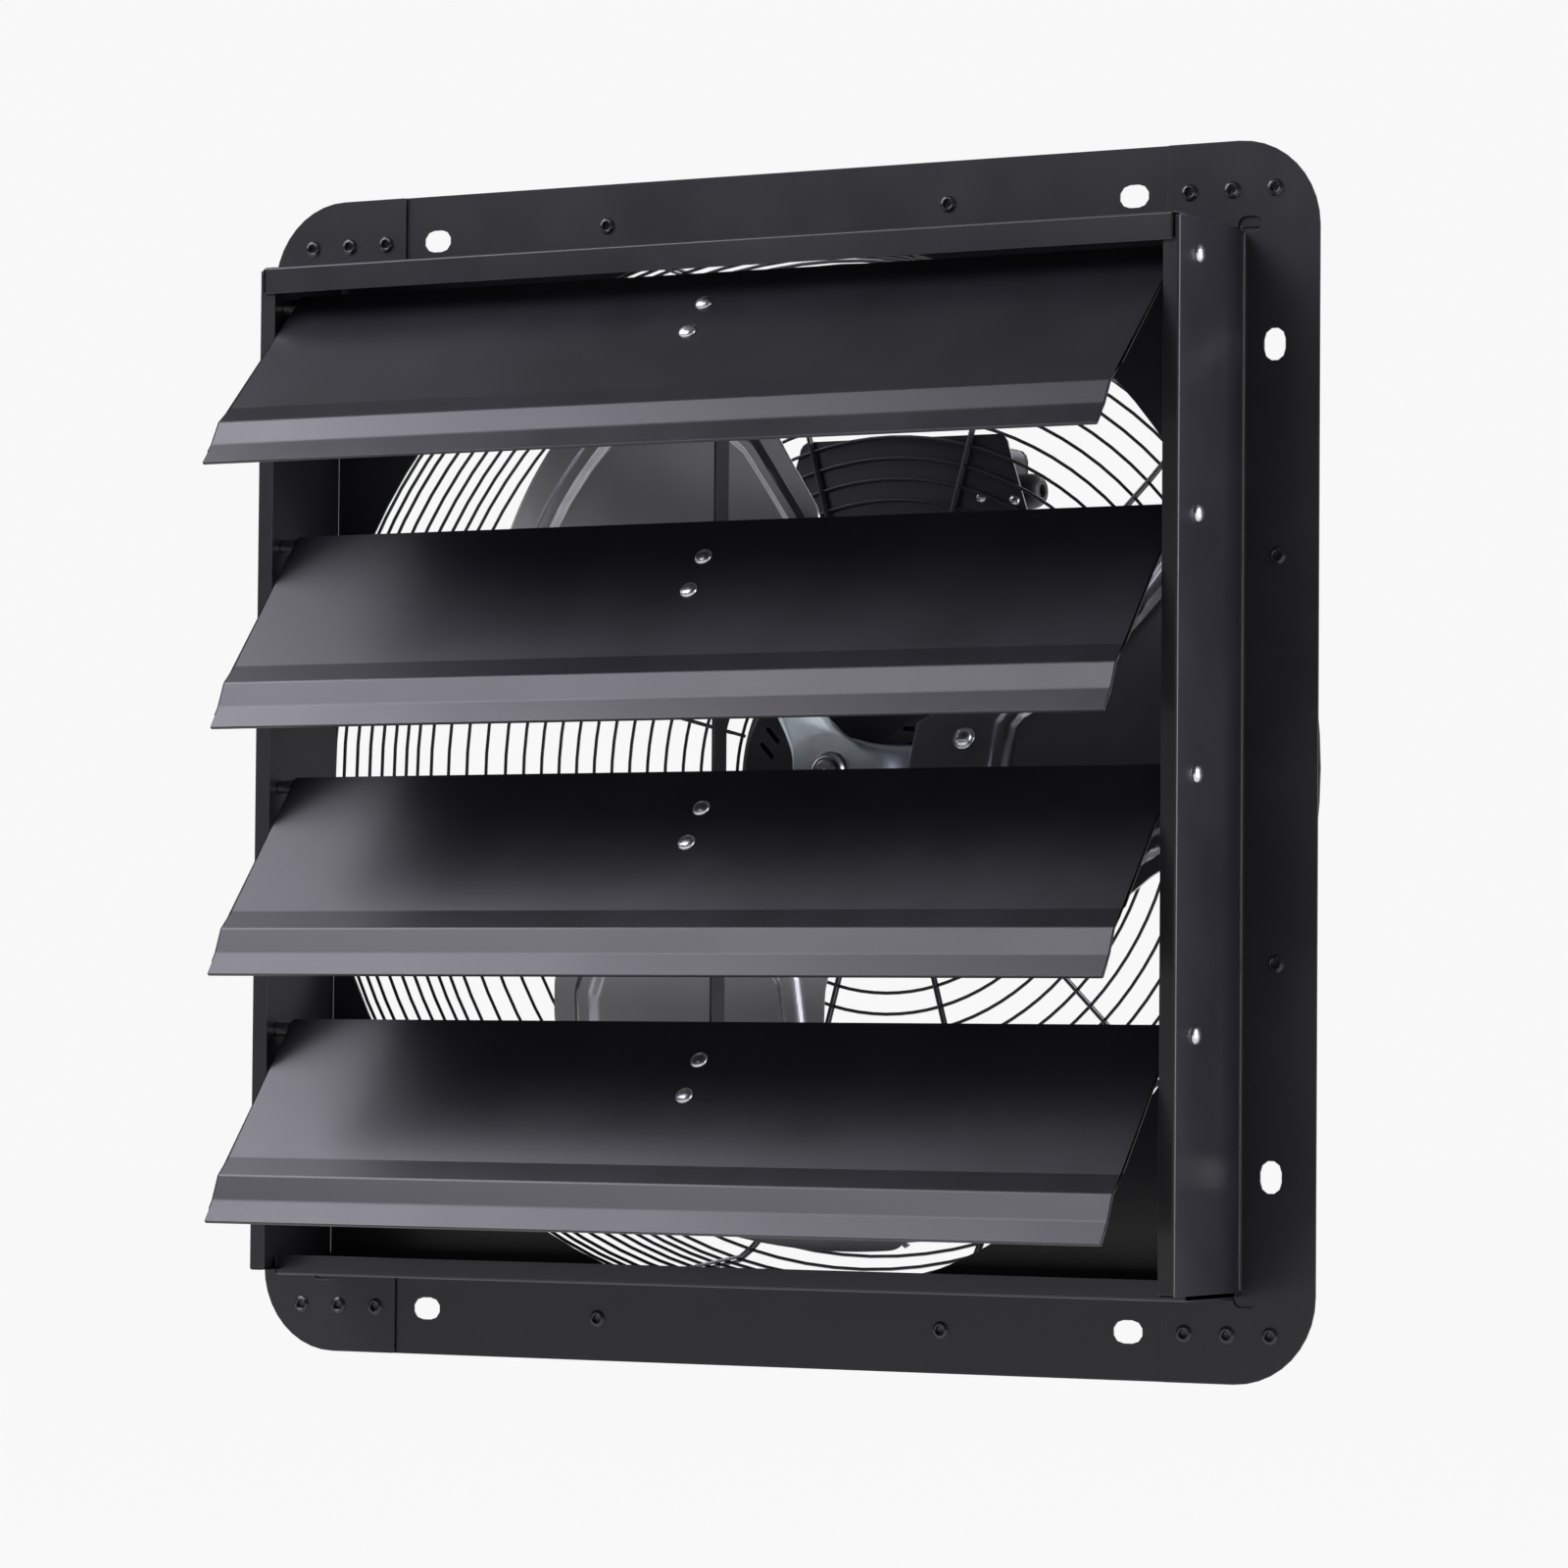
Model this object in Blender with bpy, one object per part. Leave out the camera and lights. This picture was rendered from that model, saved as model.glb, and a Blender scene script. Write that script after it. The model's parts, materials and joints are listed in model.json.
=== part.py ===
"""Wall shutter exhaust fan: four gravity louvers in a riveted sheet frame,
a three-blade impeller on an end-bell motor, a welded wire guard and a control box.

Metres, +Z up. X runs to the right seen from outdoors, +Y points into the wall.
The origin is the centre of the wall opening, on the plane the flange lies against.
"""
import math

import bmesh
import bpy
from mathutils import Matrix, Vector

# Sheet metal and fits
SHEET = 0.0010
CLEARANCE = 0.0003
ROUND_STEPS = 12
OVERRUN = 0.0020

# Mounting flange and louver box
BOX_HALF_WIDTH = 0.2428
FLANGE_WIDTH = 0.0372
FRAME_SIDE = 2 * (BOX_HALF_WIDTH + FLANGE_WIDTH)
CORNER_RADIUS = 0.0400
WALL_END_DROP = 0.0041
WALL_HALF_HEIGHT = BOX_HALF_WIDTH - WALL_END_DROP
WALL_DEPTH = 0.0683
WALL_LIP = 0.0080
CHANNEL_END_INSET = 0.0025
CHANNEL_HALF_WIDTH = BOX_HALF_WIDTH - CHANNEL_END_INSET
TOP_CHANNEL_DROP = 0.0027
TOP_CHANNEL_Z = BOX_HALF_WIDTH - TOP_CHANNEL_DROP
TOP_LIP = 0.0128
BOTTOM_CHANNEL_RISE = 0.0013
BOTTOM_CHANNEL_Z = BOTTOM_CHANNEL_RISE - BOX_HALF_WIDTH
BOTTOM_CHANNEL_DEPTH = 0.0500
BOTTOM_LIP = 0.0095
STRIP_INSET = 0.0120
STRIP_HALF_WIDTH = FRAME_SIDE / 2 - STRIP_INSET
STRIP_CORNER_RADIUS = 0.0300
EAR_WIDTH = 0.0383
EAR_EDGE_X = BOX_HALF_WIDTH - EAR_WIDTH
EAR_GAP = 0.0006

# Holes in the flange
SLOT_LENGTH = 0.0150
SLOT_WIDTH = 0.0105
SLOT_END_DISTANCE = 0.0558
SLOT_ALONG = BOX_HALF_WIDTH - SLOT_END_DISTANCE
SLOT_EDGE_DISTANCE = 0.0220
SLOT_ACROSS = FRAME_SIDE / 2 - SLOT_EDGE_DISTANCE
RELIEF_LENGTH = 0.0120
RELIEF_WIDTH = 0.0070
RELIEF_OUTSET = 0.0027
RELIEF_X = BOX_HALF_WIDTH + RELIEF_OUTSET
RELIEF_RISE = 0.0019
RELIEF_Z = TOP_CHANNEL_Z + RELIEF_RISE

# Rivet holes in the flange
RIVET_HOLE_RADIUS = 0.0023
EDGE_RIVET_ALONG = 0.0916
EDGE_RIVET_EDGE_DISTANCE = 0.0200
EDGE_RIVET_ACROSS = FRAME_SIDE / 2 - EDGE_RIVET_EDGE_DISTANCE
CORNER_RIVETS = 3
CORNER_RIVET_INSET = 0.0272
CORNER_RIVET_X = BOX_HALF_WIDTH - CORNER_RIVET_INSET
CORNER_RIVET_PITCH = 0.0212
CORNER_RIVET_EDGE_DISTANCE = 0.0222
CORNER_RIVET_Z = FRAME_SIDE / 2 - CORNER_RIVET_EDGE_DISTANCE

# Round opening and the guard's feet
OPENING_OUTSET = 0.0072
OPENING_RADIUS = BOX_HALF_WIDTH + OPENING_OUTSET
FOOT_WIDTH = 0.0140
FOOT_THICKNESS = 0.0012
FOOT_HEEL = 0.0050
FOOT_STEP = 0.0060

# Louvers, in their own plane: u runs down the sheet, v towards the outdoor face
LOUVER_COUNT = 4
TOP_PIVOT_DROP = 0.0169
LOUVER_TOP_PIVOT_Z = TOP_CHANNEL_Z - TOP_PIVOT_DROP
BOTTOM_PIVOT_RISE = 0.1189
LOUVER_PITCH = (LOUVER_TOP_PIVOT_Z + BOX_HALF_WIDTH - BOTTOM_PIVOT_RISE) / (LOUVER_COUNT - 1)
LOUVER_PIVOT_DEPTH = 0.0476
LOUVER_END_GAP = 0.0091
LOUVER_HALF_WIDTH = BOX_HALF_WIDTH - LOUVER_END_GAP
LOUVER_SHEET = 0.0008
LOUVER_OVERLAP = 0.0013
LIP_HEIGHT = 0.0117
BEND_TO_CREASE = 0.0121
CREASE_TO_PANEL = 0.0119
PANEL_TOP_U = -0.0035
PANEL_V = 0.0028
LIP_END_U = LOUVER_PITCH + LOUVER_OVERLAP
LIP_END_V = -0.0007
LIP_BEND_U = LIP_END_U - LIP_HEIGHT
LIP_BEND_V = 0.0005
CREASE_U = LIP_BEND_U - BEND_TO_CREASE
CREASE_V = 0.0042
PANEL_END_U = CREASE_U - CREASE_TO_PANEL
HEM_HEIGHT = 0.0080
OPEN_ANGLE = math.radians(39.5)
TOP_OPEN_ANGLE = math.radians(45.5)
EAR_REAR_V = -0.0200
EAR_SHOULDER_U = 0.0180
EAR_HEEL_U = 0.0040
EAR_CORNER_V = -0.0080

# Louver pivot pins in the side walls
PIN_RADIUS = 0.0020
PIN_HEAD_RADIUS = 0.0043
PIN_HEAD_HEIGHT = 0.0020
PIN_SHOULDER_RADIUS = 0.0035
PIN_TAIL_LENGTH = 0.0015

# Tie bar and its brackets
BRACKET_SHEET = 0.0015
BRACKET_EDGE_X = -0.0105
BRACKET_WIDTH = 0.0185
BRACKET_TOP_U = 0.0130
BRACKET_END_U = 0.0470
BRACKET_EYE_RADIUS = 0.0070
LINK_REACH_Y = 0.0200
LINK_DROP_Z = 0.0388
BRACKET_WEB_INSET = 0.0002
LOUVER_RIVETS = 2
LOUVER_RIVET_U = 0.0194
LOUVER_RIVET_PITCH = 0.0210
LOUVER_RIVET_X = -0.0010
TIE_BAR_THICKNESS = 0.0015
TIE_BAR_WIDTH = 0.0120
TIE_BAR_OVERHANG = 0.0080
TIE_BAR_PAD_RADIUS = 0.0095
LINK_PIN_RADIUS = 0.0020
LINK_HEAD_RADIUS = 0.0035
LINK_WIDE_HEAD_RADIUS = 0.0080
LINK_HEAD_HEIGHT = 0.0012
LINK_SLOT_RADIUS = 0.0038
LINK_SLOT_BACK = 0.0018
LINK_SLOT_UP = 0.0042
LINK_SLOT_FRONT = 0.0016
LINK_SLOT_DOWN = 0.0003

# Wire guard: a cone, a curved shoulder and a flat back
WIRE = 0.0020
GUARD_FIRST_RING = 0.0028
GUARD_MOUTH_RADIUS = OPENING_RADIUS
GUARD_TAPER = 0.0080
GUARD_WAIST_RADIUS = GUARD_MOUTH_RADIUS - GUARD_TAPER
GUARD_WAIST_DEPTH = 0.0880
GUARD_CORNER_INSET = 0.0180
GUARD_CORNER_RADIUS = GUARD_WAIST_RADIUS - GUARD_CORNER_INSET
GUARD_SHOULDER = 0.0240
GUARD_BACK_RADIUS = GUARD_CORNER_RADIUS - GUARD_SHOULDER
GUARD_DEPTH = 0.1190
GUARD_INNER_RADIUS = 0.0860
GUARD_STRUTS = 12
GUARD_STRUT_ANGLE = math.radians(15)
STRUT_PAIR_WIDTH = 0.0050
SIDE_RINGS = 4
BACK_RINGS = 7
RING_STEPS = 2

# Impeller
BLADE_COUNT = 3
BLADE_TIP_GAP = 0.0214
BLADE_TIP_RADIUS = OPENING_RADIUS - BLADE_TIP_GAP
BLADE_DEPTH = 0.0530
BLADE_SHEET = 0.0012
ROOT_PITCH = math.radians(24)
TIP_PITCH = math.radians(12.5)
ROOT_FLAT_RADIUS_SHARE = 0.349956
ROOT_FLAT_RADIUS = ROOT_FLAT_RADIUS_SHARE * BLADE_TIP_RADIUS
RIB_HALF_WIDTH = 0.0045
RIB_HEIGHT = 0.0025
TIP_CORNER_RADIUS = 0.0120
BOLT_RADIUS = 0.0030
BOLT_HEAD_RADIUS = 0.0057
BOLT_HEAD_HEIGHT = 0.0040
BOLT_TAIL = 0.0030
BOLT_INSET = 0.0080
BOLT_RADIAL = ROOT_FLAT_RADIUS - BOLT_INSET
BOLT_SIDE = 0.0150

# Blade rows from root to tip, as shares of the tip radius: trailing edge (out, side), leading edge
# (out, side), then where the rib's two legs cross the row, as shares of its width
BLADE_ROW_SHARES = (
    (0.197, -0.101, 0.197, 0.101, 0.35, 0.65),
    (0.289, -0.192, 0.284, 0.147, 0.35, 0.70),
    (0.394, -0.290, 0.381, 0.188, 0.29, 0.78),
    (0.416, -0.309, 0.400, 0.192, 0.22, 0.80),
    (0.442, -0.315, 0.420, 0.199, 0.14, 0.84),
    (0.560, -0.302, 0.494, 0.234, 0.14, 0.86),
    (0.665, -0.295, 0.577, 0.302, 0.14, 0.86),
    (0.748, -0.260, 0.647, 0.381, 0.12, 0.81),
    (0.792, -0.219, 0.691, 0.440, 0.10, 0.77),
    (0.847, -0.192, 0.718, 0.488, 0.09, 0.74),
    (0.868, -0.186, 0.733, 0.501, 0.10, 0.73),
    (0.890, -0.178, 0.748, 0.515, 0.11, 0.72),
    (0.990, -0.139, 0.793, 0.609, 0.13, 0.70),
)
RIB_FIRST_ROW = 3
RIB_LAST_ROW = 10

# Spider and shaft
SPIDER_SHEET = 0.0025
SPIDER_HUB_RADIUS = 0.0195
SPIDER_NECK_REACH = 0.0260
SPIDER_NECK_HALF_WIDTH = 0.0112
SPIDER_BOLT_TO_ARM = 0.0280
SPIDER_ARM_REACH = BOLT_RADIAL - SPIDER_BOLT_TO_ARM
SPIDER_ARM_HALF_WIDTH = 0.0118
SPIDER_BOLT_TO_PAD = 0.0100
SPIDER_PAD_REACH = BOLT_RADIAL - SPIDER_BOLT_TO_PAD
SPIDER_BOLT_TO_EDGE = 0.0075
SPIDER_PAD_HALF_WIDTH = BOLT_SIDE + SPIDER_BOLT_TO_EDGE
SPIDER_BOLT_TO_END = 0.0120
SPIDER_LENGTH = BOLT_RADIAL + SPIDER_BOLT_TO_END
SPIDER_HUB_SINK = 0.0050
SPIDER_NECK_SHARE = 0.5
BUSH_RADIUS = 0.0095
BUSH_NOSE = 0.0040
BUSH_FLANGE_RADIUS = 0.0125
BUSH_FLANGE_LENGTH = 0.0085
SHAFT_RADIUS = 0.0060
SHAFT_NOSE = 0.0015
SET_SCREW_RADIUS = 0.0020

# Motor
MOTOR_RADIUS = 0.0520
MOTOR_FRONT_DEPTH = 0.0720
MOTOR_STATOR_LENGTH = 0.0140
MOTOR_WALL = 0.0025
MOTOR_EDGE_RADIUS = 0.0080
STATOR_BORE_RADIUS = 0.0290
ROTOR_CORE_RADIUS = 0.0283
ROTOR_CORE_LENGTH = 0.0130
WINDING_RADIUS = 0.0440
WINDING_BORE_RADIUS = 0.0310
WINDING_LENGTH = 0.0060
BEARING_RADIUS = 0.0110
BEARING_LENGTH = 0.0060
BELL_SLOTS = 12
BELL_SLOT_RADIUS = 0.0375
BELL_SLOT_LENGTH = 0.0110
BELL_SLOT_WIDTH = 0.0032
BELL_SLOT_TURN = math.radians(32)

# Motor plate in front of the guard and clamp ring behind it
PLATE_RADIUS = 0.0880
PLATE_SHEET = 0.0015
CLAMP_RING_RADIUS = 0.0900
CLAMP_RING_BORE_RADIUS = 0.0560
CLAMP_STUDS = 4
CLAMP_STUD_CIRCLE = 0.0740
MOTOR_STUDS = 4
MOTOR_STUD_CIRCLE = 0.0430
STUD_RADIUS = 0.0020
STUD_NUT_RADIUS = 0.0045
STUD_NUT_HEIGHT = 0.0030

# Control box behind the guard
BOX_X = 0.0060
BOX_PLATE_RISE = 0.0040
BOX_PLATE_BOTTOM_Z = CLAMP_RING_RADIUS + BOX_PLATE_RISE
BOX_PLATE_HEIGHT = 0.0713
BOX_PLATE_TOP_HALF = 0.0573
BOX_PLATE_BOTTOM_HALF = 0.0785
BOX_CORNER = 0.0060
BOX_CORNER_STEPS = 3
CASE_HALF_WIDTH = 0.0450
CASE_RISE = 0.0020
CASE_BOTTOM_Z = BOX_PLATE_BOTTOM_Z + CASE_RISE
CASE_HEIGHT = 0.0660
CASE_TOP_Z = CASE_BOTTOM_Z + CASE_HEIGHT
CASE_DEPTH = 0.0420
CASE_WALL = 0.0020
LID_THICKNESS = 0.0025
GLAND_RISE = 0.0430
GLAND_Z = CASE_BOTTOM_Z + GLAND_RISE
GLAND_RADIUS = 0.0050
GLAND_BORE_RADIUS = 0.0030
GLAND_NUT_RADIUS = 0.0075
GLAND_NUT_LENGTH = 0.0040
GLAND_NOSE_LENGTH = 0.0100
CAPACITOR_RADIUS = 0.0130
CAPACITOR_LENGTH = 0.0420
CAPACITOR_TO_WALL = 0.0060
CAPACITOR_X = BOX_X - CASE_HALF_WIDTH + CASE_WALL + CAPACITOR_TO_WALL + CAPACITOR_RADIUS
TERMINAL_TO_CAPACITOR = 0.0100
TERMINAL_X = CAPACITOR_X + CAPACITOR_RADIUS + TERMINAL_TO_CAPACITOR
TERMINAL_WIDTH = 0.0300
TERMINAL_DEPTH = 0.0120
TERMINAL_HEIGHT = 0.0140
TERMINAL_RISE = 0.0090
TERMINAL_Z = CASE_BOTTOM_Z + TERMINAL_RISE

BLACK = ((0.028, 0.028, 0.030), 0.45, 0.0)
BLACK_PLASTIC = ((0.020, 0.020, 0.022), 0.55, 0.0)
ZINC = ((0.62, 0.63, 0.65), 0.30, 1.0)
SPIDER_ZINC = ((0.33, 0.36, 0.39), 0.38, 0.9)
BLADE_GREY = ((0.13, 0.13, 0.14), 0.38, 0.6)
STEEL = ((0.48, 0.48, 0.50), 0.35, 1.0)
COPPER = ((0.55, 0.24, 0.12), 0.45, 0.9)
IRON = ((0.20, 0.20, 0.21), 0.55, 0.8)

STRIP_REAR_Y = 0.0
STRIP_FRONT_Y = STRIP_REAR_Y - SHEET
FLANGE_REAR_Y = STRIP_FRONT_Y - CLEARANCE
FLANGE_FRONT_Y = FLANGE_REAR_Y - SHEET
PIVOT_Y = FLANGE_FRONT_Y - LOUVER_PIVOT_DEPTH
TOP_FRONT_Y = FLANGE_FRONT_Y - WALL_DEPTH - CLEARANCE - SHEET
GUARD_MOUTH_Y = FLANGE_FRONT_Y + GUARD_FIRST_RING
GUARD_BACK_Y = FLANGE_FRONT_Y + GUARD_DEPTH
ROTOR_Y = FLANGE_FRONT_Y + BLADE_DEPTH
PLATE_FRONT_Y = GUARD_BACK_Y - WIRE / 2 - CLEARANCE - PLATE_SHEET
CLAMP_RING_FRONT_Y = GUARD_BACK_Y + WIRE / 2 + CLEARANCE
MOTOR_FRONT_Y = FLANGE_FRONT_Y + MOTOR_FRONT_DEPTH
MOTOR_REAR_Y = PLATE_FRONT_Y - CLEARANCE
BELL_LENGTH = (MOTOR_REAR_Y - MOTOR_FRONT_Y - MOTOR_STATOR_LENGTH) / 2 - CLEARANCE
STATOR_FRONT_Y = MOTOR_FRONT_Y + BELL_LENGTH + CLEARANCE
STATOR_REAR_Y = STATOR_FRONT_Y + MOTOR_STATOR_LENGTH
CASE_FRONT_Y = CLAMP_RING_FRONT_Y + PLATE_SHEET + CLEARANCE
CASE_REAR_Y = CASE_FRONT_Y + CASE_DEPTH
GLAND_Y = (CASE_FRONT_Y + CASE_REAR_Y) / 2


def material(name, look):
    colour, roughness, metallic = look
    made = bpy.data.materials.new(name)
    made.use_nodes = True
    shader = made.node_tree.nodes["Principled BSDF"]
    shader.inputs["Base Color"].default_value = (*colour, 1)
    shader.inputs["Roughness"].default_value = roughness
    shader.inputs["Metallic"].default_value = metallic
    return made


def add_object(name, mesh, look, parent=None):
    made = bpy.data.objects.new(name, mesh)
    bpy.context.scene.collection.objects.link(made)
    if look:
        mesh.materials.append(material(name, look))
    if parent:
        made.parent = parent
        made.matrix_parent_inverse = parent.matrix_world.inverted()
    return made


def mesh_from(bm, name, smooth=False):
    bmesh.ops.remove_doubles(bm, verts=bm.verts, dist=CLEARANCE / 10)
    bmesh.ops.recalc_face_normals(bm, faces=bm.faces)
    mesh = bpy.data.meshes.new(name)
    bm.to_mesh(mesh)
    bm.free()
    if smooth:
        mesh.shade_smooth()
        mesh.set_sharp_from_angle(angle=math.radians(40))
    return mesh


def axis_empty(name, place):
    empty = bpy.data.objects.new(name, None)
    empty.location = place
    bpy.context.scene.collection.objects.link(empty)
    bpy.context.view_layer.update()
    return empty


def helper(name, bm):
    made = add_object(name, mesh_from(bm, name), None)
    made.hide_render = True
    made.display_type = "WIRE"
    return made


def join(target, other, operation="UNION"):
    step = target.modifiers.new(operation.title(), "BOOLEAN")
    step.operation = operation
    step.solver = "EXACT"
    step.object = other


def thicken(made, thickness):
    step = made.modifiers.new("Thickness", "SOLIDIFY")
    step.thickness = thickness
    step.offset = 0
    step.use_even_offset = False


def box(low, high):
    bm = bmesh.new()
    size = [h - l for l, h in zip(low, high)]
    centre = [(l + h) / 2 for l, h in zip(low, high)]
    bmesh.ops.create_cube(bm, size=1, matrix=Matrix.Translation(centre) @ Matrix.Diagonal((*size, 1)))
    return bm


def arc(centre, radius, start, end, steps):
    turn = (end - start) / steps
    return [
        (centre[0] + radius * math.cos(start + turn * i), centre[1] + radius * math.sin(start + turn * i))
        for i in range(steps + 1)
    ]


def circle(centre, radius, steps=ROUND_STEPS):
    return arc(centre, radius, 0, 2 * math.pi, steps)[:-1]


def capsule(start, end, radius, steps=5):
    """A slot outline with round ends about two centres."""
    heading = math.atan2(end[1] - start[1], end[0] - start[0])
    quarter = math.pi / 2
    far = arc(end, radius, heading - quarter, heading + quarter, steps)
    return far + arc(start, radius, heading + quarter, heading + 3 * quarter, steps)


def slot(centre, length, width, turn=0.0):
    reach = (length - width) / 2
    step = (reach * math.cos(turn), reach * math.sin(turn))
    start = (centre[0] - step[0], centre[1] - step[1])
    return capsule(start, (centre[0] + step[0], centre[1] + step[1]), width / 2)


def plate(outline, holes, placed, thickness):
    """A flat plate with holes. placed turns a point of the outline and a height into a place."""
    bm = bmesh.new()
    edges = []
    for loop in (outline, *holes):
        verts = [bm.verts.new(placed(a, b, 0)) for a, b in loop]
        edges += [bm.edges.new((verts[i - 1], verts[i])) for i in range(len(verts))]
    filled = bmesh.ops.triangle_fill(bm, edges=edges, use_beauty=True)["geom"]
    faces = [g for g in filled if isinstance(g, bmesh.types.BMFace)]
    lifted = bmesh.ops.extrude_face_region(bm, geom=faces)["geom"]
    step = Vector(placed(0, 0, thickness)) - Vector(placed(0, 0, 0))
    bmesh.ops.translate(bm, verts=[g for g in lifted if isinstance(g, bmesh.types.BMVert)], vec=step)
    return bm


def facing_y(y):
    return lambda a, b, h: (a, y + h, b)


def facing_x(x):
    return lambda a, b, h: (x + h, a, b)


def turned(profile, steps=24):
    """A body turned about Y from points (radius, y) that end on the axis or close on themselves."""
    bm = bmesh.new()
    verts = [bm.verts.new((r, y, 0)) for r, y in profile]
    edges = [bm.edges.new(pair) for pair in zip(verts, verts[1:])]
    if profile[0][0] > 0:
        edges.append(bm.edges.new((verts[-1], verts[0])))
    bmesh.ops.spin(bm, geom=verts + edges, cent=(0, 0, 0), axis=(0, 1, 0),
                   angle=2 * math.pi, steps=steps, use_merge=True)
    return bm


def tube(inner, outer, start, end, steps=24):
    return turned([(inner, start), (outer, start), (outer, end), (inner, end)], steps)


def rod(radius, start, end, steps=10):
    return turned([(0, start), (radius, start), (radius, end), (0, end)], steps)


def moved(bm, matrix):
    bmesh.ops.transform(bm, matrix=matrix, verts=bm.verts)
    return bm


def gathered(pieces):
    """One bmesh from several, each freed once it is copied."""
    whole = bmesh.new()
    for piece in pieces:
        spare = bpy.data.meshes.new("spare")
        piece.to_mesh(spare)
        piece.free()
        whole.from_mesh(spare)
        bpy.data.meshes.remove(spare)
    return whole


def at(x, y, z):
    return Matrix.Translation((x, y, z))


# Flange and box

def corner_signs():
    return [(sx, sz) for sx in (-1, 1) for sz in (-1, 1)]


def corner_rivets_x():
    return [CORNER_RIVET_X + i * CORNER_RIVET_PITCH for i in range(CORNER_RIVETS)]


def frame_channel(name, side):
    """Top (side 1) or bottom (side -1) channel with its flange strip."""
    edge = FRAME_SIDE / 2
    wall_z = TOP_CHANNEL_Z if side > 0 else BOTTOM_CHANNEL_Z
    front = TOP_FRONT_Y if side > 0 else FLANGE_FRONT_Y - BOTTOM_CHANNEL_DEPTH
    lip = TOP_LIP if side > 0 else BOTTOM_LIP
    bend = (STRIP_HALF_WIDTH - STRIP_CORNER_RADIUS, side * (edge - STRIP_CORNER_RADIUS))
    round_end = arc(bend, STRIP_CORNER_RADIUS, 0, side * math.pi / 2, 6)
    half = [(STRIP_HALF_WIDTH, wall_z - side * SHEET / 2), *round_end]
    outline = half + [(-x, z) for x, z in reversed(half)]
    holes = [slot((sx * SLOT_ALONG, side * SLOT_ACROSS), SLOT_LENGTH, SLOT_WIDTH) for sx in (-1, 1)]
    spots = [(EDGE_RIVET_ALONG, EDGE_RIVET_ACROSS)] + [(x, CORNER_RIVET_Z) for x in corner_rivets_x()]
    holes += [circle((sx * x, side * z), RIVET_HOLE_RADIUS, 8) for x, z in spots for sx in (-1, 1)]
    strip = plate(outline, holes, facing_y(STRIP_FRONT_Y), SHEET)
    flange = add_object(name, mesh_from(strip, name), BLACK)
    inner = wall_z - side * SHEET
    hidden = STRIP_FRONT_Y + SHEET / 2
    profile = [
        (hidden, wall_z), (front, wall_z), (front, wall_z - side * lip),
        (front + SHEET, wall_z - side * lip), (front + SHEET, inner), (hidden, inner),
    ]
    channel = plate(profile, [], facing_x(-CHANNEL_HALF_WIDTH), 2 * CHANNEL_HALF_WIDTH)
    join(flange, helper(name + "_channel", channel))


def louver_pivot_z(index):
    return LOUVER_TOP_PIVOT_Z - index * LOUVER_PITCH


def frame_wall(name, side):
    """Left (side -1) or right (side 1) wall with its front lip, flange and corner ears."""
    edge = FRAME_SIDE / 2
    inner = BOX_HALF_WIDTH - SHEET / 2
    bend = edge - CORNER_RADIUS
    outline = []
    for sz, channel in ((1, TOP_CHANNEL_Z), (-1, -BOTTOM_CHANNEL_Z)):
        foot = channel + EAR_GAP
        ear = [(inner, foot), (EAR_EDGE_X, foot), (EAR_EDGE_X, edge)]
        ear += arc((bend, bend), CORNER_RADIUS, math.pi / 2, 0, 10)
        outline += [(side * x, sz * z) for x, z in (ear if sz > 0 else reversed(ear))]
    upright = math.pi / 2
    spots = [(EDGE_RIVET_ACROSS, EDGE_RIVET_ALONG)] + [(x, CORNER_RIVET_Z) for x in corner_rivets_x()]
    holes = [circle((side * x, sz * z), RIVET_HOLE_RADIUS, 8) for x, z in spots for sz in (-1, 1)]
    for sz in (-1, 1):
        holes.append(slot((side * SLOT_ACROSS, sz * SLOT_ALONG), SLOT_LENGTH, SLOT_WIDTH, upright))
    sheet = plate(outline, holes, facing_y(FLANGE_FRONT_Y), SHEET)
    flange = add_object(name, mesh_from(sheet, name), BLACK)

    front = FLANGE_FRONT_Y - WALL_DEPTH
    hidden = FLANGE_FRONT_Y + SHEET / 2
    outer = side * BOX_HALF_WIDTH
    wall = [(y, sz * WALL_HALF_HEIGHT) for y, sz in ((hidden, -1), (hidden, 1), (front, 1), (front, -1))]
    holes = [circle((PIVOT_Y, louver_pivot_z(i)), PIN_RADIUS + CLEARANCE, 10) for i in range(LOUVER_COUNT)]
    join(flange, helper(name + "_wall", plate(wall, holes, facing_x(outer), -side * SHEET)))
    near, far = sorted((outer - side * WALL_LIP, outer - side * SHEET / 2))
    lip = box((near, front, -WALL_HALF_HEIGHT), (far, front + SHEET, WALL_HALF_HEIGHT))
    join(flange, helper(name + "_lip", lip))
    start = FLANGE_FRONT_Y - OVERRUN
    reliefs = []
    for sz in (-1, 1):
        relief = slot((side * RELIEF_X, sz * RELIEF_Z), RELIEF_LENGTH, RELIEF_WIDTH)
        reliefs.append(plate(relief, [], facing_y(start), SHEET + 2 * OVERRUN))
    join(flange, helper(name + "_relief", gathered(reliefs)), "DIFFERENCE")


def corner_gusset(name, sx, sz):
    """A flat corner plate whose inner edge is a stretch of the round opening."""
    channel = TOP_CHANNEL_Z if sz > 0 else -BOTTOM_CHANNEL_Z
    wall_x = BOX_HALF_WIDTH - SHEET - CLEARANCE
    wall_z = channel - SHEET - CLEARANCE
    start, end = math.acos(wall_x / OPENING_RADIUS), math.asin(wall_z / OPENING_RADIUS)
    curve = arc((0, 0), OPENING_RADIUS, start, end, 14)
    outline = [(sx * x, sz * z) for x, z in [*curve, (wall_x, wall_z)]]
    add_object(name, mesh_from(plate(outline, [], facing_y(FLANGE_FRONT_Y), SHEET), name), BLACK)


# Louvers

def louver_angle(index):
    return TOP_OPEN_ANGLE if index == 0 else OPEN_ANGLE


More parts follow.
